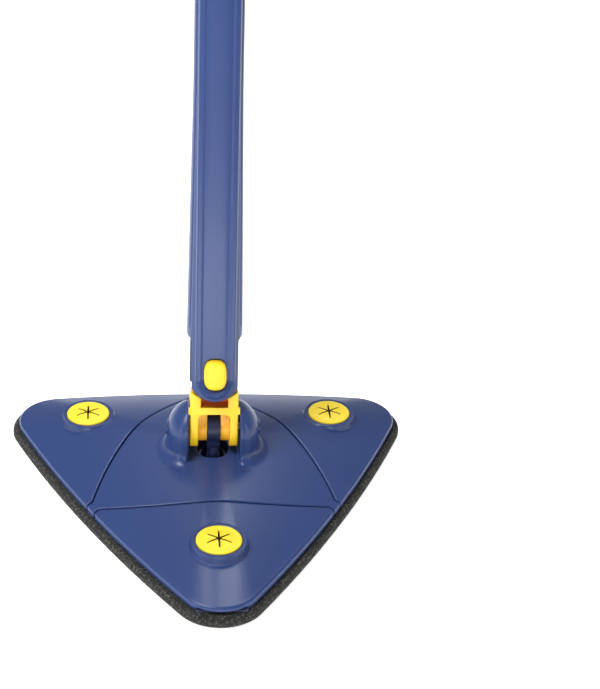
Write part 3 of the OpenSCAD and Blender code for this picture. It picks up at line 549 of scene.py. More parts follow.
def plush_pile(name, rgb):
    """Long plush: tufts that lean in patches, with painted shade between the tufts, patches painted lighter
    or darker by their lean, and a soft sheen.
    """
    t = Tree(name)
    place = t.add("ShaderNodeTexCoord").outputs["Object"]
    lean = t.noise(22.0, 3.0, 0.55, place, 1.2)
    comb = t.add("ShaderNodeMapping", {"Vector": place, "Scale": (520.0, 230.0, 520.0),
                                       "Rotation": (0.0, 0.0, 0.35)})
    tufts = t.noise(1.0, 4.0, 0.7, comb.outputs["Vector"], 0.9)
    clumps = t.add("ShaderNodeTexVoronoi", {"Vector": place, "Scale": 260.0}).outputs["Distance"]
    # Painted shade between the tufts, and painted light and shade on the patches by their lean.
    shade = t.blend(tufts, shaded(rgb, 0.45), shaded(rgb, 1.35))
    lean_painted_light = t.blend(lean, shaded(rgb, 0.72), shaded(rgb, 1.18))
    base = t.add("ShaderNodeMix", {"Factor": 0.5, 6: shade, 7: lean_painted_light}, data_type="RGBA").outputs[2]
    t.set(Base_Color=base, Roughness=0.95, Sheen_Weight=0.55, Sheen_Roughness=0.45,
          Sheen_Tint=(0.85, 0.85, 0.87, 1), Specular_IOR_Level=0.15)
    first = t.bump(tufts, 0.9, 0.0011)
    t.set(Normal=t.bump(clumps, 0.5, 0.0007, t.bump(lean, 0.5, 0.0016, first)))
    return t.material


def woven_binding(name, rgb):
    """Woven polyester tape: over and under of two thread directions, with pale fibre specks; the threads'
    crests are painted lighter and the hollows between them darker, as painted highlight and shade.

    The real threads lie about a millimetre apart, too fine to show, so these are drawn coarser.
    """
    thread_m, specks_per_m = 0.0030, 560.0
    t = Tree(name)
    place = t.add("ShaderNodeUVMap", uv_map="Along").outputs["UV"]
    parts = t.add("ShaderNodeSeparateXYZ", {"Vector": place})
    along, across = parts.outputs["X"], parts.outputs["Y"]
    turn = 2 * math.pi / thread_m
    warp = t.maths("SINE", t.maths("MULTIPLY", t.maths("ADD", along, across), turn))
    weft = t.maths("SINE", t.maths("MULTIPLY", t.maths("SUBTRACT", along, across), turn))
    cross = t.maths("MULTIPLY", warp, weft)
    thread = t.maths("ABSOLUTE", cross)
    fuzz = t.noise(specks_per_m, 3.0, 0.75)
    specks = t.ramp(fuzz, [(0.50, (0, 0, 0, 1)), (0.66, (1, 1, 1, 1))])
    # Painted highlight and shade: the threads run from 0.22 to 2.3 times the tape's colour, and the specks
    # fade in the hollows.
    raised = t.blend(thread, shaded(rgb, 0.22), shaded(rgb, 2.3))
    base = t.blend(t.maths("MULTIPLY", specks, t.scaled(thread, 0.35, 1.0)), raised, linear("#86867E"))
    t.set(Base_Color=base, Roughness=0.9, Sheen_Weight=0.06, Sheen_Roughness=0.5, Specular_IOR_Level=0.2)
    t.set(Normal=t.bump(fuzz, 0.4, 0.0002, t.bump(thread, 1.0, 0.0009)))
    return t.material


def hook_tape(name):
    """Hook side of a touch fastener: rows of tiny hooks on a dark woven ground."""
    t = Tree(name)
    place = t.add("ShaderNodeTexCoord").outputs["Object"]
    cells = t.add("ShaderNodeTexVoronoi", {"Vector": place, "Scale": 900.0, "Randomness": 0.35})
    hooks = cells.outputs["Distance"]
    base = t.ramp(hooks, [(0.1, linear("#3A3A3C")), (0.5, linear("#0E0E10"))])
    t.set(Base_Color=base, Roughness=0.7)
    t.set(Normal=t.bump(hooks, 0.8, 0.0006))
    return t.material


def make_finishes():
    """Every material of the mop, by name."""
    f = finish()
    return {
        "blue": moulded("blue satin plastic", tuple(f.blue), 0.285, 0.34, 0.04, coat=0.08, shine=0.35),
        # Dark navy: on the lug it is painted shade.
        "navy": moulded("navy plastic", tuple(f.navy), 0.38, 0.52, 0.10),
        # The yellow's second colour is painted shade for the yoke's slot and cheeks.
        "yellow": moulded("yellow satin plastic", tuple(f.yellow), 0.28, 0.40, 0.05, recess_shade_colour="#F58C3C"),
        "soft": rubbery("soft yellow rubber", tuple(f.grip_yellow)),
        "steel": drawn_steel("drawn steel tube", tuple(f.steel)),
        "screw": drawn_steel("plated screw steel", shaded(tuple(f.steel), 0.72), 0.30),
        "spring": drawn_steel("spring wire", shaded(tuple(f.steel), 0.62), 0.34, 1.6),
        "plush": plush_pile("plush pile", tuple(f.plush)),
        "binding": woven_binding("woven binding", tuple(f.binding)),
        "hook": hook_tape("hook tape"),
        "handle": moulded("soft-touch grey plastic", tuple(f.handle), 0.45, 0.60, 0.04, 0.00008),
    }


FINISHES = {}


def finish_of(name):
    if not FINISHES:
        FINISHES.update(make_finishes())
    return FINISHES[name]


# ---- head ----------------------------------------------------------------------------

def wing_outline(h, count=640):
    """A wing seen from above, anticlockwise: out along the rim, in along one end, back along the seam."""
    mid = float(rim(h, 60))
    end = 60 - math.degrees(math.asin((h.block_w / 2 + h.seam_gap) / mid)) - 0.15
    out_a = np.linspace(-end, end, 900)
    in_a = out_a[::-1]
    out_r, in_r = rim(h, out_a), seam(h, in_a) + h.seam_gap / 2
    ends = np.linspace(0, 1, 40)[1:-1, None]
    polar = [np.stack([r * np.cos(np.radians(a)), r * np.sin(np.radians(a))], 1)
             for r, a in ((out_r, out_a), (in_r, in_a))]
    right = polar[0][-1] + ends * (polar[1][0] - polar[0][-1])
    left = polar[1][-1] + ends * (polar[0][0] - polar[1][-1])
    return resample(np.vstack([polar[0], right, polar[1], left]), count)


def wing_grid(h, g, mouth):
    """One wing along +X as a closed grid.

    Straight lines run from the bore of the grip's boss to the outline, offset inward by the edge's
    rounding. Their height is the dome's, eased up to the boss's top near the boss. The edge then
    rolls over a quarter circle, runs down the skirt, and returns inside one wall thinner.
    """
    outline = wing_outline(h)
    total = perimeter(outline)
    edge = soften(outline, 0.9, total)
    normal = outward(edge)
    a = np.degrees(np.arctan2(outline[:, 1], outline[:, 0]))
    r = np.hypot(outline[:, 0], outline[:, 1])
    on_rim = (r > (rim(h, a) + seam(h, a)) / 2) & (np.abs(a) < 55)
    roll = soften(np.where(on_rim, h.rim_roll, h.seam_roll), 2.5, total)[:, None]
    inner = edge - normal * roll
    centre = np.array([g.reach, 0.0])
    bore = g.disc_d / 2 + 0.3
    away = inner - centre
    far = np.linalg.norm(away, axis=1, keepdims=True)
    away = away / far
    near = bore + np.array([0, 0.25, 0.7, 1.4, 2.1, 2.7, 2.9, 3.1, 3.3, 3.5, 3.7, 3.9, 4.1, 4.3,
                            4.8, 5.6, 6.8])

    def top(p):
        d = np.linalg.norm(p - centre, axis=1)
        z = dome(h, p[:, 0], p[:, 1])
        up = 1 - ease((d - bore - 2.7) / 1.5)
        lip = 0.5 * ease((bore + 0.7 - d) / 0.7)
        return z + np.maximum(g.boss_z - z, 0) * up - lip

    plan = [centre + away * d for d in near]
    plan += [centre + away * (near[-1] + (far - near[-1]) * t) for t in np.linspace(0, 1, 26)[1:]]
    rows = [np.column_stack([p, top(p)]) for p in plan]
    z0 = top(inner)
    for b in np.radians(np.arange(15, 91, 15)):
        p = inner + normal * roll * math.sin(b)
        rows.append(np.column_stack([p, z0 - roll[:, 0] * (1 - math.cos(b))]))
    low = h.plate_z + soften(np.where(on_rim | (r > rim(h, a) - 6), 0.0, h.seam_lift), 1.2, total)
    if mouth:
        side = ease((h.mouth_w / 2 + 1.5 - np.abs(edge[:, 1])) / 3.0) * (edge[:, 0] > 100)
        low = low + h.mouth_h * side
    rows.append(np.column_stack([edge, low + 0.4]))
    rows.append(np.column_stack([edge - normal * 0.4, low]))
    back = soften(outline, 3.0, total)
    back = back - outward(back) * h.shell_t
    rows.append(np.column_stack([back + outward(back) * 0.4, low]))
    under = dome(h, back[:, 0], back[:, 1]) - h.shell_t
    rows.append(np.column_stack([back, np.maximum(np.minimum(under, rows[-4][:, 2] - 1), low + 0.3)]))
    for t in (0.75, 0.5, 0.25, 0.0):
        p = centre + away * bore + (back - centre - away * bore) * t
        rows.append(np.column_stack([p, np.maximum(dome(h, p[:, 0], p[:, 1]) - h.shell_t, h.plate_z + 2)]))
    return patch(rows)


def centre_outline(h, count=1500):
    """The centre plate seen from above: along the three seams and out to the rim in three blunt blocks."""
    a = np.linspace(0, 360, 14400, endpoint=False)
    f = np.abs((a + 60) % 120 - 60)
    b = np.radians(np.maximum(60 - f, 1e-3))
    r = np.minimum(rim(h, f), np.maximum(seam(h, f) - h.seam_gap / 2, h.block_w / 2 / np.sin(b)))
    t = np.radians(a + WINGS["right"])
    return resample(np.stack([r * np.cos(t), r * np.sin(t)], 1), count)


def centre_grid(h, j):
    """The centre plate: lines from the bowl's rounded lip to the outline over the dome, closed underneath."""
    outline = centre_outline(h)
    total = perimeter(outline)
    edge = soften(outline, 0.7, total)
    normal = outward(edge)
    inner = edge - normal * h.seam_roll
    t = np.arctan2(inner[:, 1], inner[:, 0])
    way = np.stack([np.cos(t), np.sin(t)], 1)
    n = 2.5
    bowl = ((np.abs(way[:, 0]) / j.bowl_w) ** n + (np.abs(way[:, 1]) / j.bowl_l) ** n) ** (-1 / n)
    bowl = bowl[:, None]
    lip = 2.2
    turn = WINGS["right"]
    rows = []
    z_lip = dome(h, *(way * (bowl + lip)).T, turn)
    rows.append(np.column_stack([way * bowl, np.full(len(t), 24.0)]))
    for b in np.radians(np.arange(0, 91, 15)):
        p = way * (bowl + lip * (1 - math.cos(b)))
        rows.append(np.column_stack([p, z_lip - lip * (1 - math.sin(b))]))
    start = way * (bowl + lip)
    for k in np.linspace(0, 1, 34)[1:]:
        p = start + (inner - start) * k
        rows.append(np.column_stack([p, dome(h, p[:, 0], p[:, 1], turn)]))
    z0 = rows[-1][:, 2]
    for b in np.radians(np.arange(22.5, 91, 22.5)):
        p = inner + normal * h.seam_roll * math.sin(b)
        rows.append(np.column_stack([p, z0 - h.seam_roll * (1 - math.cos(b))]))
    low = np.full(len(t), h.plate_z)
    rows.append(np.column_stack([edge, low + 0.3]))
    rows.append(np.column_stack([edge - normal * 0.3, low]))
    back = soften(outline, 2.0, total)
    back = back - outward(back) * 1.6
    rows.append(np.column_stack([back, low]))
    for k in (1.0, 0.8, 0.6, 0.4, 0.2, 0.0):
        p = way * (bowl + 1.4) + (back - way * (bowl + 1.4)) * k
        rows.append(np.column_stack([p, dome(h, p[:, 0], p[:, 1], turn) - h.shell_t]))
    rows.append(np.column_stack([way * (bowl + 1.4), np.full(len(t), 24.0)]))
    return patch(rows)


def ear_grid(h, j, side):
    """An ear: a half ellipsoid over a column, whose foot flares over the plate in a quarter circle.

    Each ring is a D seen from above, with its flat side toward the yoke. The ring's size follows a
    quarter ellipse to the pin's height, then stays, then grows by the foot's radius.
    """
    p = np.radians(np.linspace(-90, 90, 91))
    d = np.vstack([np.column_stack([np.cos(p), np.sin(p)]),
                   np.column_stack([np.zeros(58), np.linspace(1, -1, 60)[1:-1]])])
    d = resample(d * [j.ear_t, j.ear_r], 160)
    d = soften(d, 1.0, perimeter(d))
    way = outward(d)
    foot = 2.0 + (j.ear_foot - 2.0) * ease(0.5 + 0.9 * way[:, 0])
    rows = []
    for b in np.radians(np.linspace(1, 90, 22)):
        x = j.ear_in + d[:, 0] * math.sin(b) ** 1.7
        z = np.full(len(d), j.pivot_z + j.ear_r * math.cos(b))
        rows.append(np.column_stack([x, d[:, 1] * math.sin(b), z]))
    ground = dome(h, j.ear_in + d[:, 0], d[:, 1], WINGS["right"])
    for k in (0.35, 0.7):
        z = j.pivot_z + (ground + foot - j.pivot_z) * k
        rows.append(np.column_stack([j.ear_in + d[:, 0], d[:, 1], z]))
    for b in np.radians(np.linspace(0, 90, 14)):
        ring = d + way * (foot * (1 - math.cos(b)))[:, None]
        x = j.ear_in + ring[:, 0]
        z = dome(h, x, ring[:, 1], WINGS["right"]) + foot * (1 - math.sin(b))
        rows.append(np.column_stack([x, ring[:, 1], z + 0.02]))
    ring = d + way * (foot + 0.6)[:, None]
    x = j.ear_in + ring[:, 0]
    rows.append(np.column_stack([x, ring[:, 1], dome(h, x, ring[:, 1], WINGS["right"]) - 1.2]))
    grid = patch(rows)
    grid[..., 0] *= side
    return grid


def ear_root(h, j, side):
    """Low plug that closes the underside of an ear's foot inside the plate's wall."""
    grid = ear_grid(h, j, side)[-1]
    middle = grid.mean(axis=0)
    rows = [middle + (grid - middle) * k for k in (1.0, 0.66, 0.33, 0.01)]
    return patch(rows)


class MOP_OT_wings(bpy.types.Operator):
    """Builds the three wings that fold round the centre plate."""
    bl_idname = "mop.wings"
    bl_label = "Wings"

    def execute(self, context):
        h, g = head(), grips()
        for name, way in WINGS.items():
            grid = turned(wing_grid(h, g, name == "front"), way)
            shell = surface(f"{name}_wing_shell", [(grid, True, True, None)])
            finished(shell, f"{name}_flap", finish_of("blue"), f"{name}_wing", slot="blue_plastic")
        return {"FINISHED"}


class MOP_OT_centre_plate(bpy.types.Operator):
    """Builds the centre plate with its bowl and its two ears."""
    bl_idname = "mop.centre_plate"
    bl_label = "Centre plate"

    def execute(self, context):
        h, j = head(), joint()
        grids = [(centre_grid(h, j), True, True, None)]
        for side in (-1, 1):
            ear = np.concatenate([ear_grid(h, j, side), ear_root(h, j, side)[1:]])
            grids.append((ear, False, True, "rows"))
        plate = surface("centre_plate_shell", grids)
        finished(plate, "head", finish_of("blue"), "centre_plate", slot="blue_plastic")
        return {"FINISHED"}


# ---- cloth grips -----------------------------------------------------------------------

def star_grid(g):
    """A grip's face round its own middle: a low cone with a rounded rim, slit into petals.

    The height is a flat disc with a shallow rise to the middle. Near each slit it drops by an eased
    step as deep as the distance to the slit's middle line is small, and the petal's lips stand up a
    little beside it.
    """
    columns = 720
    t = np.radians(np.arange(columns) * 360 / columns)
    big = g.disc_d / 2
    radii = np.concatenate([np.linspace(0.02, g.slit_r + 1.2, 34),
                            np.linspace(g.slit_r + 1.6, big - 1.0, 10)])
    step = 2 * math.pi / g.petals
    off = np.abs((t + math.pi / 2 + step / 2) % step - step / 2)
    rows, slit = [], []
    top = g.boss_z + 0.8
    for r in radii:
        across = r * np.sin(np.minimum(off, math.pi / 2))
        inside = ease((g.slit_r - r) / 0.7)
        half = g.slit_w / 2 * (1 - 0.6 * r / g.slit_r)
        cut = (1 - ease((across - half) / 0.3)) * inside
        hole = 1 - ease((r - g.hole_d / 2 + 0.5) / 0.5)
        cut = np.maximum(cut, hole)
        curl = 0.5 * np.exp(-((across - 0.9) / 0.9) ** 2) * inside * ease(r / 3)
        z = top + 0.5 * ease((big - 3 - r) / 6) + curl - 3.2 * cut
        rows.append(np.column_stack([r * np.cos(t), r * np.sin(t), z]))
        # Weight of the painted shade in the slits and the hole, a little wider than the cut itself.
        slit.append(np.maximum((1 - ease((across - half - 0.15) / 0.35)) * inside, hole))
    for b in np.radians(np.arange(22.5, 91, 22.5)):
        r = big - 1.0 + math.sin(b)
        rows.append(np.column_stack([r * np.cos(t), r * np.sin(t), np.full(columns, top - 1 + math.cos(b))]))
        slit.append(np.zeros(columns))
    for r, z in ((big, top - 2.0), (big - 1.4, top - 2.2), (big - 1.5, 12.0), (0.02, 12.0)):
        rows.append(np.column_stack([r * np.cos(t), r * np.sin(t), np.full(columns, z)]))
        slit.append(np.zeros(columns))
    return patch(rows), np.stack(slit)


class MOP_OT_cloth_grips(bpy.types.Operator):
    """Builds the three star-slit grips that hold a cloth's corners."""
    bl_idname = "mop.cloth_grips"
    bl_label = "Cloth grips"

    def execute(self, context):
        g = grips()
        grid, slit = star_grid(g)
        for name, way in WINGS.items():
            t = math.radians(way)
            moved = grid + np.array([g.reach * math.cos(t), g.reach * math.sin(t), 0])
            disc = surface(f"{name}_star_grip", [(moved, False, True, "rows")], sharp=60, weld=0.0001)
            # The slit attribute carries the weight of painted shade inside the slits.
            shade = disc.data.attributes.new("slit", "FLOAT", "POINT")
            if len(disc.data.vertices) != slit.size:
                raise RuntimeError("the star's points were merged, so its slits can't be shaded")
            shade.data.foreach_set("value", slit.ravel().astype(np.float32))
            finished(disc, f"{name}_flap", finish_of("soft"), f"{name}_cloth_grip", slot="soft_yellow")
        return {"FINISHED"}


# ---- swivel joint ----------------------------------------------------------------------

class MOP_OT_lug(bpy.types.Operator):
    """Builds the flared root of the lug that stands in the centre plate's bowl, in dark navy as painted
    shade.
    """
    bl_idname = "mop.lug"
    bl_label = "Lug root"

    def execute(self, context):
        j = joint()
        t = np.radians(np.arange(0, 360, 4))
        rows = []
        for k in np.linspace(0, 1, 18):
            n = 3.2 - 1.0 * (1 - k)
            w = j.lug_half + (j.bowl_w - 2.2 - j.lug_half) * (1 - k) ** 2.4
            l = 11.2 + 1.6 * (1 - k) ** 2.0
            r = ((np.abs(np.cos(t)) / w) ** n + (np.abs(np.sin(t)) / l) ** n) ** (-1 / n)
            rows.append(np.column_stack([r * np.cos(t), r * np.sin(t), np.full(len(t), 25.4 + 13.5 * k)]))
        root = surface("lug_root", [(patch(rows), False, True, "rows")])
        # The lug's dark navy is painted shade of the blue plastic under the yoke.
        finished(root, "head", finish_of("navy"), slot="navy_plastic")
        return {"FINISHED"}


def arch_half(j, side):
    """Half of the yoke's front arch: rounded rectangles up a leg, round the corner, along the bar.

    The front face is flat above the tilt pin and follows the leg's circle below it. Above the bar the
    inner edge keeps outside the circle that the chin's lower corners sweep about the swing pin.
    """
    thick, back_step, edge_r = 5.5, 1.2, 0.9
    corner_rise, clearance = 7.4, 0.4     # of the chin's lower corners above its lowest point; of the sweep
    inner, outer = j.yoke_half - j.leg_t, j.yoke_half - 0.1
    front = j.leg_r + 0.6
    levels = [(s, inner) for s in (-12.4, -11.6, -10.4, -9.0, -7.0, -5.0, -3.0, -1.0, 1.0, 4.0, 8.0)]
    levels += [(j.arch_top - j.arch_r * (1 - math.sin(b)), inner - j.arch_r * (1 - math.cos(b)))
               for b in np.radians(np.linspace(0, 84, 9))]
    sweep = math.hypot(j.tongue_half, corner_rise - j.chin_drop) + clearance
    end_s = j.swing_s - math.sqrt(sweep ** 2 - (outer - 1.6) ** 2)
    levels += [(j.arch_top, 0.0), (j.bar_top, 0.0), (j.bar_top, j.slot_half)]
    levels += [(s, max(j.slot_half, math.sqrt(max(sweep ** 2 - (j.swing_s - s) ** 2, 0.0))))
               for s in np.linspace(j.bar_top + 2, end_s, 14)]
    rows = []
    for k, (s, x0) in enumerate(levels):
        low = min(s, 0.0)
        y0 = -math.sqrt(max(front ** 2 - low ** 2, 0.0))
        y1 = y0 + back_step
        if low > thick - front:
            y1 = min(-math.sqrt(max((front - thick) ** 2 - low ** 2, 0.0)), y0 + thick)
        pull = (0.5, 0.15, 0.0, 0.0)[min(k, 3)] + (0.0, 0.1, 0.3)[max(0, k - len(levels) + 3)]
        x0, x1, y0 = x0 - 0.02 * (x0 == 0), outer - pull, y0 + pull
        b = np.radians(np.linspace(0, 90, 5))
        r = edge_r
        ring = [(x1 - r + r * math.sin(a), y0 + r - r * math.cos(a)) for a in b]
        ring += [(x1, y1), (x0, y1)]
        ring += [(x0 + r * (x0 > 0) * (1 - math.cos(a)), y0 + r * (x0 > 0) * (1 - math.sin(a))) for a in b]
        ring = np.array(ring)
        rows.append(np.stack(leaned_rows(ring[:, 0] * side, ring[:, 1], np.full(len(ring), s)), axis=-1))
    return np.stack(rows)


def leaned_rows(x, y, s):
    """The three coordinates of points given in the leaned frame."""
    return leaned(x, y, s).T


class MOP_OT_yoke(bpy.types.Operator):
    """Builds the yellow yoke with eased edges, a narrower waist, a flat front arch and painted orange shade
    in its slot and cheek recesses.
    """
    bl_idname = "mop.yoke"
    bl_label = "Yoke"

    def execute(self, context):
        j = joint()
        piece = eased_copy("swivel_yoke_piece", "yoke", 0.9)
        up = Vector((0, math.sin(j.lean), math.cos(j.lean)))
        foot = Vector((0, 0, j.pivot_z)) * MM
        bm = bmesh.new()
        bm.from_mesh(piece.data)
        for s in (24, 25, 26, 32, 34, 36):
            bmesh.ops.bisect_plane(bm, geom=bm.verts[:] + bm.edges[:] + bm.faces[:], plane_no=up,
                                   plane_co=foot + up * s * MM)
        for v in bm.verts:
            at = (v.co - foot) / MM
            s, y = at.dot(up), at.y * math.cos(j.lean) - at.z * math.sin(j.lean)
            v.co.x *= 1 - 0.13 * float(max(ease((s - 31.9) / 4), ease((s - 24) / 2) * ease((y + 1) / 3)))
        # Painted shade: the slot under the chin takes the full orange shade colour, and the cheeks between
        # the legs take it in part.
        deep = bm.faces.layers.float.new("deep")
        for face in bm.faces:
            at = (face.calc_center_median() - foot) / MM
            s, y = at.dot(up), at.y * math.cos(j.lean) - at.z * math.sin(j.lean)
            wide = max(abs(v.co.x) for v in face.verts) / MM
            slot = wide < j.slot_half + 0.6 and j.bar_top - 0.5 < s < 27 and y < 0
            cheek = j.lug_half < abs(at.x) < j.yoke_half - j.leg_t + 0.1 and s < j.arch_top + 0.3
            face[deep] = 1.0 if slot else 0.45 if cheek else 0.0
        bm.to_mesh(piece.data)
        bm.free()
        finished(piece, "swivel_yoke", finish_of("yellow"), "yoke", slot="yellow_plastic")
        halves = [(arch_half(j, side), False, True, "rows") for side in (-1, 1)]
        arch = surface("swivel_yoke_arch", halves, sharp=50)
        finished(arch, "swivel_yoke", finish_of("yellow"), slot="yellow_plastic")
        return {"FINISHED"}


def neck_r(j, s):
    """Radius of the neck along its length: two straight tapers."""
    low = j.neck_r_mid + (j.neck_r_low - j.neck_r_mid) * (j.neck_mid - s) / (j.neck_mid - j.swing_s)
    high = j.neck_r_mid - (j.neck_r_mid - j.neck_r_top) * (s - j.neck_mid) / (j.neck_top - j.neck_mid)
    return np.where(s < j.neck_mid, low, high)


def lower_edge(j, count):
    """Lower edge of the neck's front half as (angle in degrees from the front, height along the pole).

    It follows the chin's arc to the tongue's side, climbs that side, and turns out along the hem.
    """
    x = np.linspace(0, j.tongue_half, 60)
    low = j.swing_s - j.chin_drop
    chin = low + j.chin_r - np.sqrt(j.chin_r ** 2 - x ** 2)
    arc = np.degrees(np.arcsin(x / neck_r(j, chin)))
    top = j.swing_s + math.sqrt(j.hem_r ** 2 - j.tongue_half ** 2)
    s = np.linspace(chin[-1], top, 60)[1:]
    side = np.degrees(np.arcsin(j.tongue_half / neck_r(j, s)))
    a = np.linspace(side[-1], 90, 40)[1:]
    hem = top + 2.6 * ease((a - side[-1]) / (90 - side[-1]))
    half = np.column_stack([np.concatenate([arc, side, a]), np.concatenate([chin, s, hem])])
    flat = half * [math.radians(20), 1]
    along = np.concatenate([[0], np.cumsum(np.linalg.norm(np.diff(flat, axis=0), axis=1))])
    at = np.linspace(0, along[-1], count)
    half = np.stack([np.interp(at, along, half[:, i]) for i in (0, 1)], axis=1)
    return np.vstack([half[::-1] * [-1, 1], half[1:]])


def soften_open(curve, width):
    """Open curve smoothed by a Gaussian, with its ends held."""
    k = np.exp(-0.5 * (np.arange(-3 * width, 3 * width + 1) / width) ** 2)
    k /= k.sum()
    n = 3 * width
    before = 2 * curve[:1] - curve[n:0:-1]
    after = 2 * curve[-1:] - curve[-2:-n - 2:-1]
    long = np.vstack([before, curve, after])
    return np.stack([np.convolve(long[:, i], k, "valid") for i in range(curve.shape[1])], axis=1)


def front_relief(j, x, s):
    """Offset of the neck's front skin: a hollow channel between two raised rails that meet in a U.

    c is the distance from the channel's middle line, or from the U's centre below it. The skin drops
    to the channel's depth inside, a little more toward the middle, and stands up in a low rail
    outside. The button's seat is a deeper pocket inside a rounded outline.
    """
    turn = j.button_s - j.button_h / 2 - 2 + j.channel_half
    c = np.where(s > turn, np.abs(x), np.hypot(x, turn - s))
    half = j.channel_half
    top = 1 - ease((s - (j.neck_top - 22)) / 8)
    hollow, rail_h, groove_d, pocket_d, gap = 1.9, 1.3, 0.7, 3.0, 0.55
    wall = 1 - ease((c - half + 0.3) / 1.3)
    floor = -(j.channel_d - 0.3 + hollow * (1 - np.clip(c / half, 0, 1) ** 2)) * wall
    rail = rail_h * np.exp(-((c - half - 2.8) / 1.15) ** 2)
    above_hem = ease((s - j.swing_s - j.hem_r) / 6)
    groove = -groove_d * np.exp(-((np.abs(x) / neck_r(j, s) - 0.90) / 0.022) ** 2) * above_hem
    seat_x = np.abs(x) / (j.button_w / 2 + gap)
    seat_s = np.abs(s - j.button_s) / (j.button_h / 2 + gap)
    pocket = -pocket_d * (1 - ease((seat_x ** 3 + seat_s ** 3 - 0.98) / 0.10))
    return (floor + rail) * top + groove + pocket


def neck_grid(j, front):
    """Half of the neck as a closed grid: up the outside from its rounded lower edge, down the inside."""
    half = 110
    lower = lower_edge(j, half)
    lower = np.column_stack([lower[:, 0] * math.radians(20), lower[:, 1]])
    lower = soften_open(lower, 2)
    d = np.gradient(lower, axis=0)
    down = np.column_stack([d[:, 1], -d[:, 0]])
    down /= np.linalg.norm(down, axis=1, keepdims=True)
    roll = 1.3
    start = lower - down * roll
    start[:, 0] = np.clip(start[:, 0], lower[0, 0], lower[-1, 0])
    up = np.linspace(-1, 1, len(lower))
    turn_s = 112.0
    top_a = np.sign(up) * np.abs(up) ** 0.95 * 90

    def skin(deg, s, inset=0.0):
        r = neck_r(j, s)
        if front:
            r = r + front_relief(j, r * np.sin(np.radians(deg)), s)
        seamed = 0.35 * ease((np.abs(deg) - 88.6) / 1.4)
        r = r - inset - seamed
        return r * np.sin(np.radians(deg)), -r * np.cos(np.radians(deg)), s

    def inside(deg, s):
        r = neck_r(j, s) - j.neck_wall
        x, y = r * np.sin(np.radians(deg)), -r * np.cos(np.radians(deg))
        w = ease((s - j.swing_s - j.hem_r + 6) / 8)
        return x, w * y + (1 - w) * np.minimum(-j.tongue_gap, y * 0 - j.tongue_gap), s

    to_deg = 1 / math.radians(20)
    rows = []
    deg0, s0 = lower[:, 0] * to_deg, lower[:, 1]
    rows.append(inside(deg0, s0))
    x0, y0, _ = skin(deg0, s0, roll)
    rows.append((x0, y0, s0))
    for b in np.radians(np.arange(75, -1, -15)):
        p = start + down * roll * math.sin(b)
        rows.append(skin(p[:, 0] * to_deg, p[:, 1], roll * (1 - math.cos(b))))
    start_deg, start_s = start[:, 0] * to_deg, start[:, 1]
    for t in np.linspace(0, 1, 96)[1:] ** 1.25:
        rows.append(skin(start_deg + (top_a - start_deg) * ease(t) ** 0.9, start_s + (turn_s - start_s) * t))
    straight = np.linspace(turn_s, j.neck_top - 30, 24)[1:]
    end = np.linspace(j.neck_top - 28, j.neck_top - 0.8, 14)
    for s in np.concatenate([straight, end]):
        rows.append(skin(top_a, np.full(len(top_a), s)))
    rows.append(skin(top_a, np.full(len(top_a), j.neck_top), 0.8))
    for s in (j.neck_top, j.neck_top - 100, turn_s + 40, turn_s):
        rows.append(inside(top_a, np.full(len(top_a), s)))
    for t in (0.6, 0.3):
        rows.append(inside(deg0 + (top_a - deg0) * t, s0 + (turn_s - s0) * t))
    grid = patch([np.stack(np.broadcast_arrays(*r), axis=-1) for r in rows])
    if not front:
        grid = grid * [1, -1, 1]
    return leaned(grid[..., 0], grid[..., 1], grid[..., 2])


class MOP_OT_neck(bpy.types.Operator):
    """Builds the front shell of the neck with its channel, rails and button seat."""
    bl_idname = "mop.neck"
    bl_label = "Neck"

    def execute(self, context):
        shell = surface("neck_front_skin", [(neck_grid(joint(), True), True, False, "columns")])
        finished(shell, "pole", finish_of("blue"), "neck_front_shell", slot="blue_plastic")
        back = eased_copy("neck_back_skin", "neck_back_shell", 0.7)
        finished(back, "pole", finish_of("blue"), "neck_back_shell", slot="blue_plastic")
        return {"FINISHED"}


class MOP_OT_button(bpy.types.Operator):
    """Builds the rounded push button."""
    bl_idname = "mop.button"
    bl_label = "Push button"

    def execute(self, context):
        j = joint()
        face = float(neck_r(j, j.button_s)) - j.channel_d + j.button_proud
        t = np.radians(np.arange(0, 360, 3))
        n = 2.9

        def ring(w, l):
            r = ((np.abs(np.cos(t)) / w) ** n + (np.abs(np.sin(t)) / l) ** n) ** (-1 / n)
            return r * np.cos(t), j.button_s + r * np.sin(t)

        w, l, roll = j.button_w / 2, j.button_h / 2, 2.2
        rows = []
        for k in np.linspace(0.02, 1, 14):
            x, s = ring((w - roll) * k, (l - roll) * k)
            rows.append(leaned(x, -(face - 0.014 * x ** 2 - 0.003 * (s - j.button_s) ** 2), s))
        for b in np.radians(np.arange(15, 91, 15)):
            x, s = ring(w - roll + roll * math.sin(b), l - roll + roll * math.sin(b))
            y = face - 0.014 * x ** 2 - 0.003 * (s - j.button_s) ** 2 - roll * (1 - math.cos(b))
            rows.append(leaned(x, -y, s))
        x, s = ring(w, l)
        rows.append(leaned(x, -16.0, s))
        x, s = ring(0.1, 0.1)
        rows.append(leaned(x, -16.0, s))
        button = surface("push_button", [(patch(rows), False, True, "rows")], sharp=60)
        finished(button, "button", finish_of("yellow"), "lock_button", slot="yellow_plastic")
        return {"FINISHED"}


# ---- pad -------------------------------------------------------------------------------

def pile_relief(x, y, depth):
    """Uneven pile: a sum of crossed sine waves of three lengths, from 0 to depth."""
    waves = (np.sin(x / 5.3 + 1.7 * np.sin(y / 9.1)) + np.sin(y / 4.1 + 1.3 * np.sin(x / 7.7 + 1.0))
             + 0.7 * np.sin((x + y) / 2.3) * np.sin((x - 1.3 * y) / 2.9 + 0.6))
    return depth * np.clip(0.5 + waves / 5.4, 0, 1)


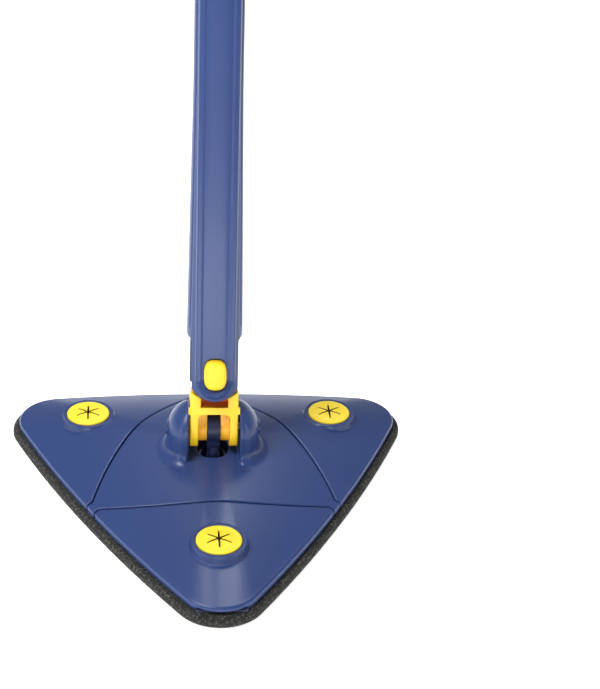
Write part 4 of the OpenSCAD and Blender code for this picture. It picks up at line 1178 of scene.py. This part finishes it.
def wing_pad_grid(h, p):
    """A corner of the pad along +X, cut off where the pad starts to fold.

    Each section runs out along the plush underside, through a groove where the binding is sewn on,
    round the bound edge in half an ellipse, and back along the top.
    """
    a = np.linspace(-60, 60, 421)
    t = np.radians(a)
    r0 = float(rim(h, 60)) / 2 / np.cos(t)
    puff = 1.0 + 0.10 * np.sin(a / 60 * np.pi * 19) * np.exp(-(a / 70) ** 2)
    r1 = rim(h, a, p.lip - 0.35 + 0.35 * puff)
    wide = r1 - r0
    roll = np.minimum(p.roll, wide * 0.92)
    band = np.minimum(p.band, (wide - roll) * 0.6)
    rows, kinds = [], []

    def put(r, z, kind):
        rows.append(np.column_stack([r * np.cos(t), r * np.sin(t), z]))
        kinds.append(kind)

    sewn = r1 - roll - band
    for k in np.linspace(0, 1, 34):
        r = r0 + (sewn - r0) * k
        x, y = r * np.cos(t), r * np.sin(t)
        edge = np.minimum(1, (sewn - r) / 3.0)
        put(r, pile_relief(x, y, p.pile) * (0.35 + 0.65 * ease(edge)) + 0.9 * (1 - ease(edge)), 0)
    for k in (0.06, 0.16, 0.5, 0.85):
        put(sewn + band * k, np.full(len(a), 1.1 if k < 0.1 else 0.35 - 0.2 * k), 1)
    mid = p.height / 2
    for b in np.radians(np.linspace(-84, 90, 24)):
        shape = np.sign(math.sin(b)) * abs(math.sin(b)) ** 0.9
        put(r1 - roll + roll * math.cos(b) ** 0.75, mid + mid * shape * np.ones(len(a)), 1)
    for k in (0.85, 0.5, 0.0):
        put(r0 + (r1 - roll - r0) * k, np.full(len(a), p.height - 0.1), 1 if k > 0.8 else 0)
    return patch(rows), np.array(kinds)


def centre_pad_grid(h, p):
    """The middle of the pad: a triangle between the three fold lines, plush below and flat on top."""
    a = np.linspace(0, 360, 361)[:-1]
    f = np.abs((a + 60) % 120 - 60)
    r0 = float(rim(h, 60)) / 2 / np.cos(np.radians(f))
    t = np.radians(a + WINGS["right"])
    rows = []
    for k in np.linspace(0.004, 1, 44):
        r = r0 * k
        x, y = r * np.cos(t), r * np.sin(t)
        relief = pile_relief(x, y, p.pile)
        edge = ease((1 - k) * 12)
        dimple = 1.3 * sum(np.exp(-((x - cx) ** 2 + (y - 4) ** 2) / 9) for cx in (-13, 13))
        rows.append(np.column_stack([x, y, relief * (0.35 + 0.65 * edge) + dimple]))
    level = np.full(len(a), p.height - 0.1)
    for k in (1.0, 0.6, 0.3, 0.004):
        rows.append(np.column_stack([r0 * k * np.cos(t), r0 * k * np.sin(t), level]))
    return patch(rows)


class MOP_OT_pad(bpy.types.Operator):
    """Builds the plush pad with its woven binding, as a middle and three corners."""
    bl_idname = "mop.pad"
    bl_label = "Plush pad"

    def execute(self, context):
        h, p = head(), pad()
        middle = surface("pad_middle", [(centre_pad_grid(h, p), False, True, "rows")], sharp=180)
        finished(middle, "head", finish_of("plush"), "centre_pad", slot="plush")
        grid, kinds = wing_pad_grid(h, p)
        for name, way in WINGS.items():
            corner = surface(f"{name}_pad_corner", [(turned(grid, way), True, False, "columns")], sharp=180)
            corner.data.materials.append(finish_of("plush"))
            corner.data.materials.append(finish_of("binding"))
            row = np.zeros(len(corner.data.polygons), np.int32)
            corner.data.attributes["row"].data.foreach_get("value", row)
            kind = np.where(row < 0, 1, kinds[np.clip(row, 0, len(kinds) - 1)])
            corner.data.polygons.foreach_set("material_index", kind.astype(np.int32))
            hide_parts(f"{name}_pad")
            t = math.radians(way)
            points = [(r * MM * math.cos(t), r * MM * math.sin(t), 0.0) for r in (p.fold_from, p.fold_to)]
            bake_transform(corner)
        return {"FINISHED"}


# ---- pole ------------------------------------------------------------------------------

def turned_sleeve(profile, flutes, depth, flute_from, flute_to, bore, columns=144):
    """A sleeve round the pole from a profile of (height, radius), fluted between two heights.

    The radius is the profile's less depth * (1 - cos(flutes * angle)) / 2, eased in and out.
    """
    t = np.radians(np.arange(columns) * 360 / columns)
    rows = []
    for s, r in profile:
        on = float(ease((s - flute_from) / 2.0) * ease((flute_to - s) / 2.0))
        ring = r - depth * on * (1 - np.cos(flutes * t)) / 2
        rows.append(leaned(ring * np.sin(t), ring * np.cos(t), s))
    for s in (profile[-1][0], profile[0][0]):
        rows.append(leaned(bore * np.sin(t), bore * np.cos(t), s))
    return patch(rows)


class MOP_OT_pole_fittings(bpy.types.Operator):
    """Builds the two collars, the hand grip and the end cap of the pole."""
    bl_idname = "mop.pole_fittings"
    bl_label = "Pole fittings"

    def execute(self, context):
        p = pole()
        inner = p.tube_r + 0.05
        for name, s in (("lower", p.lower_collar_s), ("upper", p.upper_collar_s)):
            r, e = p.collar_r, s + p.collar_len
            profile = [(s, r - 1.5), (s + 0.4, r - 0.6), (s + 1.4, r - 0.05), (s + 3, r)]
            profile += [(v, r) for v in np.linspace(s + 4, e - 4, 20)]
            profile += [(e - 3, r), (e - 1.4, r - 0.05), (e - 0.4, r - 0.6), (e, r - 1.5)]
            grid = turned_sleeve(profile, 28, 0.55, s + 6, e - 6, inner, 224)
            collar = surface(f"{name}_collar_sleeve", [(grid, True, True, None)])
            finished(collar, "pole", finish_of("yellow"), f"{name}_collar", slot="yellow_plastic")
        r, s, e = p.grip_r, p.grip_s, p.grip_s + p.grip_len
        body = np.linspace(s + 5, e - 4, 260)
        rib_d, rib_pitch = 0.35, 3.2
        ribbed = ease((body - s - 18) / 4) * ease((e - 14 - body) / 4)
        ribs = r - rib_d * (1 - np.cos((body - s) * 2 * np.pi / rib_pitch)) / 2 * ribbed
        profile = [(s, r - 1.6), (s + 0.5, r - 0.7), (s + 1.6, r - 0.1), (s + 3.2, r)]
        profile += list(zip(body, ribs)) + [(e - 1.6, r - 0.1), (e - 0.5, r - 0.6), (e, r - 1.2)]
        grid = turned_sleeve(profile, 1, 0.0, s, e, inner, 96)
        grip = surface("hand_grip_sleeve", [(grid, True, True, None)])
        finished(grip, "pole", finish_of("handle"), "hand_grip", slot="grip_grey")
        cap = eased_copy("end_cap_piece", "end_cap", 1.2)
        finished(cap, "pole", finish_of("yellow"), "end_cap", slot="yellow_plastic")
        return {"FINISHED"}


# ---- carried-over nodes and stage --------------------------------------------------------

SLOT_FINISH = {"blue_plastic": "blue", "navy_plastic": "navy", "yellow_plastic": "yellow",
               "soft_yellow": "soft", "steel": "steel", "screw_steel": "screw",
               "spring_steel": "spring", "plush": "plush", "hook_tape": "hook",
               "grip_grey": "handle", "inner_plastic": "handle"}


class MOP_OT_frame_finishes(bpy.types.Operator):
    """Gives every part of the frame the material of its own finish."""
    bl_idname = "mop.frame_finishes"
    bl_label = "Frame finishes"

    def execute(self, context):
        slots = {part["node"]: part["material_slot"] for part in frame["record"]["subparts"]}
        for name, thing in frame["nodes"].items():
            thing.data.materials.clear()
            thing.data.materials.append(finish_of(SLOT_FINISH[slots[name]]))
        return {"FINISHED"}


class MOP_OT_stage(bpy.types.Operator):
    """Sets up the pale floor, the soft lights and the camera."""
    bl_idname = "mop.stage"
    bl_label = "Stage"

    def execute(self, context):
        x = np.linspace(-6, 6, 25)
        y = np.linspace(-6, 8, 29)
        grid = np.stack(np.broadcast_arrays(x[None, :], y[:, None], 0.0), axis=-1) / MM
        floor = surface("studio_floor", [(grid, False, False, None)], sharp=180)
        paper = Tree("pale paper")
        paper.set(Base_Color=(0.95, 0.95, 0.95, 1), Roughness=0.9, Emission_Color=(1, 1, 1, 1),
                  Emission_Strength=0.80)
        floor.data.materials.append(paper.material)
        for name, place, wide, tall, power in (
                ("key", (-0.55, -0.30, 1.20), 0.5, 0.8, 16),
                ("left strip", (-1.2, -0.75, 0.35), 0.10, 0.9, 2.5),
                ("right strip", (1.2, -0.75, 0.35), 0.10, 0.9, 2.5),
                ("panel", (0.14, 1.15, 1.85), 0.8, 0.9, 17),
                ("front", (-0.12, -2.3, 0.12), 1.4, 0.3, 13)):
            lamp = bpy.data.objects.new(name, bpy.data.lights.new(name, "AREA"))
            lamp.data.shape = "RECTANGLE"
            lamp.data.size = wide
            lamp.data.size_y = tall
            lamp.data.energy = power
            aim = Vector((0, 0, 0.08)) - Vector(place)
            lamp.matrix_world = Matrix.Translation(place) @ aim.to_track_quat("-Z", "Y").to_matrix().to_4x4()
            context.scene.collection.objects.link(lamp)
        world = context.scene.world or bpy.data.worlds.new("studio")
        context.scene.world = world
        world.use_nodes = True
        world.node_tree.nodes["Background"].inputs[0].default_value = (1, 1, 1, 1)
        tree = world.node_tree
        where = tree.nodes.new("ShaderNodeTexCoord")
        parts = tree.nodes.new("ShaderNodeSeparateXYZ")
        fall = tree.nodes.new("ShaderNodeMapRange")
        for key, value in (("From Min", 0.0), ("From Max", 0.12), ("To Min", 1.0), ("To Max", 0.26)):
            fall.inputs[key].default_value = value
        tree.links.new(where.outputs["Generated"], parts.inputs["Vector"])
        tree.links.new(parts.outputs["Z"], fall.inputs["Value"])
        tree.links.new(fall.outputs["Result"], tree.nodes["Background"].inputs[1])
        context.scene.view_settings.view_transform = "Standard"
        az, el, roll = math.radians(-6.88), math.radians(30.21), math.radians(-3.475)
        ahead = Vector((-math.sin(az) * math.cos(el), math.cos(az) * math.cos(el), -math.sin(el)))
        right = Vector((math.cos(az), math.sin(az), 0))
        turn = Matrix.Rotation(roll, 3, ahead)
        up = turn @ right.cross(ahead)
        right = turn @ right
        camera = bpy.data.objects.new("camera", bpy.data.cameras.new("camera"))
        context.scene.collection.objects.link(camera)
        rotation = Matrix((right, up, -ahead)).transposed().to_4x4()
        camera.matrix_world = Matrix.Translation(Vector((-58.77, -988.59, 699.78)) * MM) @ rotation
        camera.data.lens = 36 * 1606.46 / 689
        context.scene.camera = camera
        return {"FINISHED"}


PIECES = (MOP_OT_frame_finishes, MOP_OT_wings, MOP_OT_centre_plate, MOP_OT_cloth_grips, MOP_OT_lug,
          MOP_OT_yoke, MOP_OT_neck, MOP_OT_button, MOP_OT_pad, MOP_OT_pole_fittings, MOP_OT_stage)
GROUPS = {"mop_head": HeadSizes, "mop_grips": GripSizes, "mop_joint": JointSizes, "mop_pad": PadSizes,
          "mop_pole": PoleSizes, "mop_finish": FinishColours}


class MOP_PT_panel(bpy.types.Panel):
    """Lists the mop's pieces and their sizes."""
    bl_idname = "MOP_PT_panel"
    bl_label = "Swivel floor mop"
    bl_space_type = "VIEW_3D"
    bl_region_type = "UI"
    bl_category = "Mop"

    def draw(self, context):
        for piece in PIECES:
            self.layout.operator(piece.bl_idname)
        for key, group in GROUPS.items():
            box = self.layout.box()
            for name in group.__annotations__:
                box.prop(getattr(context.scene, key), name)


def register():
    for group in GROUPS.values():
        bpy.utils.register_class(group)
    for piece in PIECES:
        bpy.utils.register_class(piece)
    bpy.utils.register_class(MOP_PT_panel)
    for key, group in GROUPS.items():
        setattr(bpy.types.Scene, key, PointerProperty(type=group))


def unregister():
    for key in GROUPS:
        delattr(bpy.types.Scene, key)
    bpy.utils.unregister_class(MOP_PT_panel)
    for cls in PIECES[::-1] + tuple(GROUPS.values())[::-1]:
        bpy.utils.unregister_class(cls)


def main():
    """Registers the classes and builds every piece in order."""
    register()
    for piece in PIECES:
        group, name = piece.bl_idname.split(".")
        getattr(getattr(bpy.ops, group), name)()


if __name__ == "__main__":
    main()
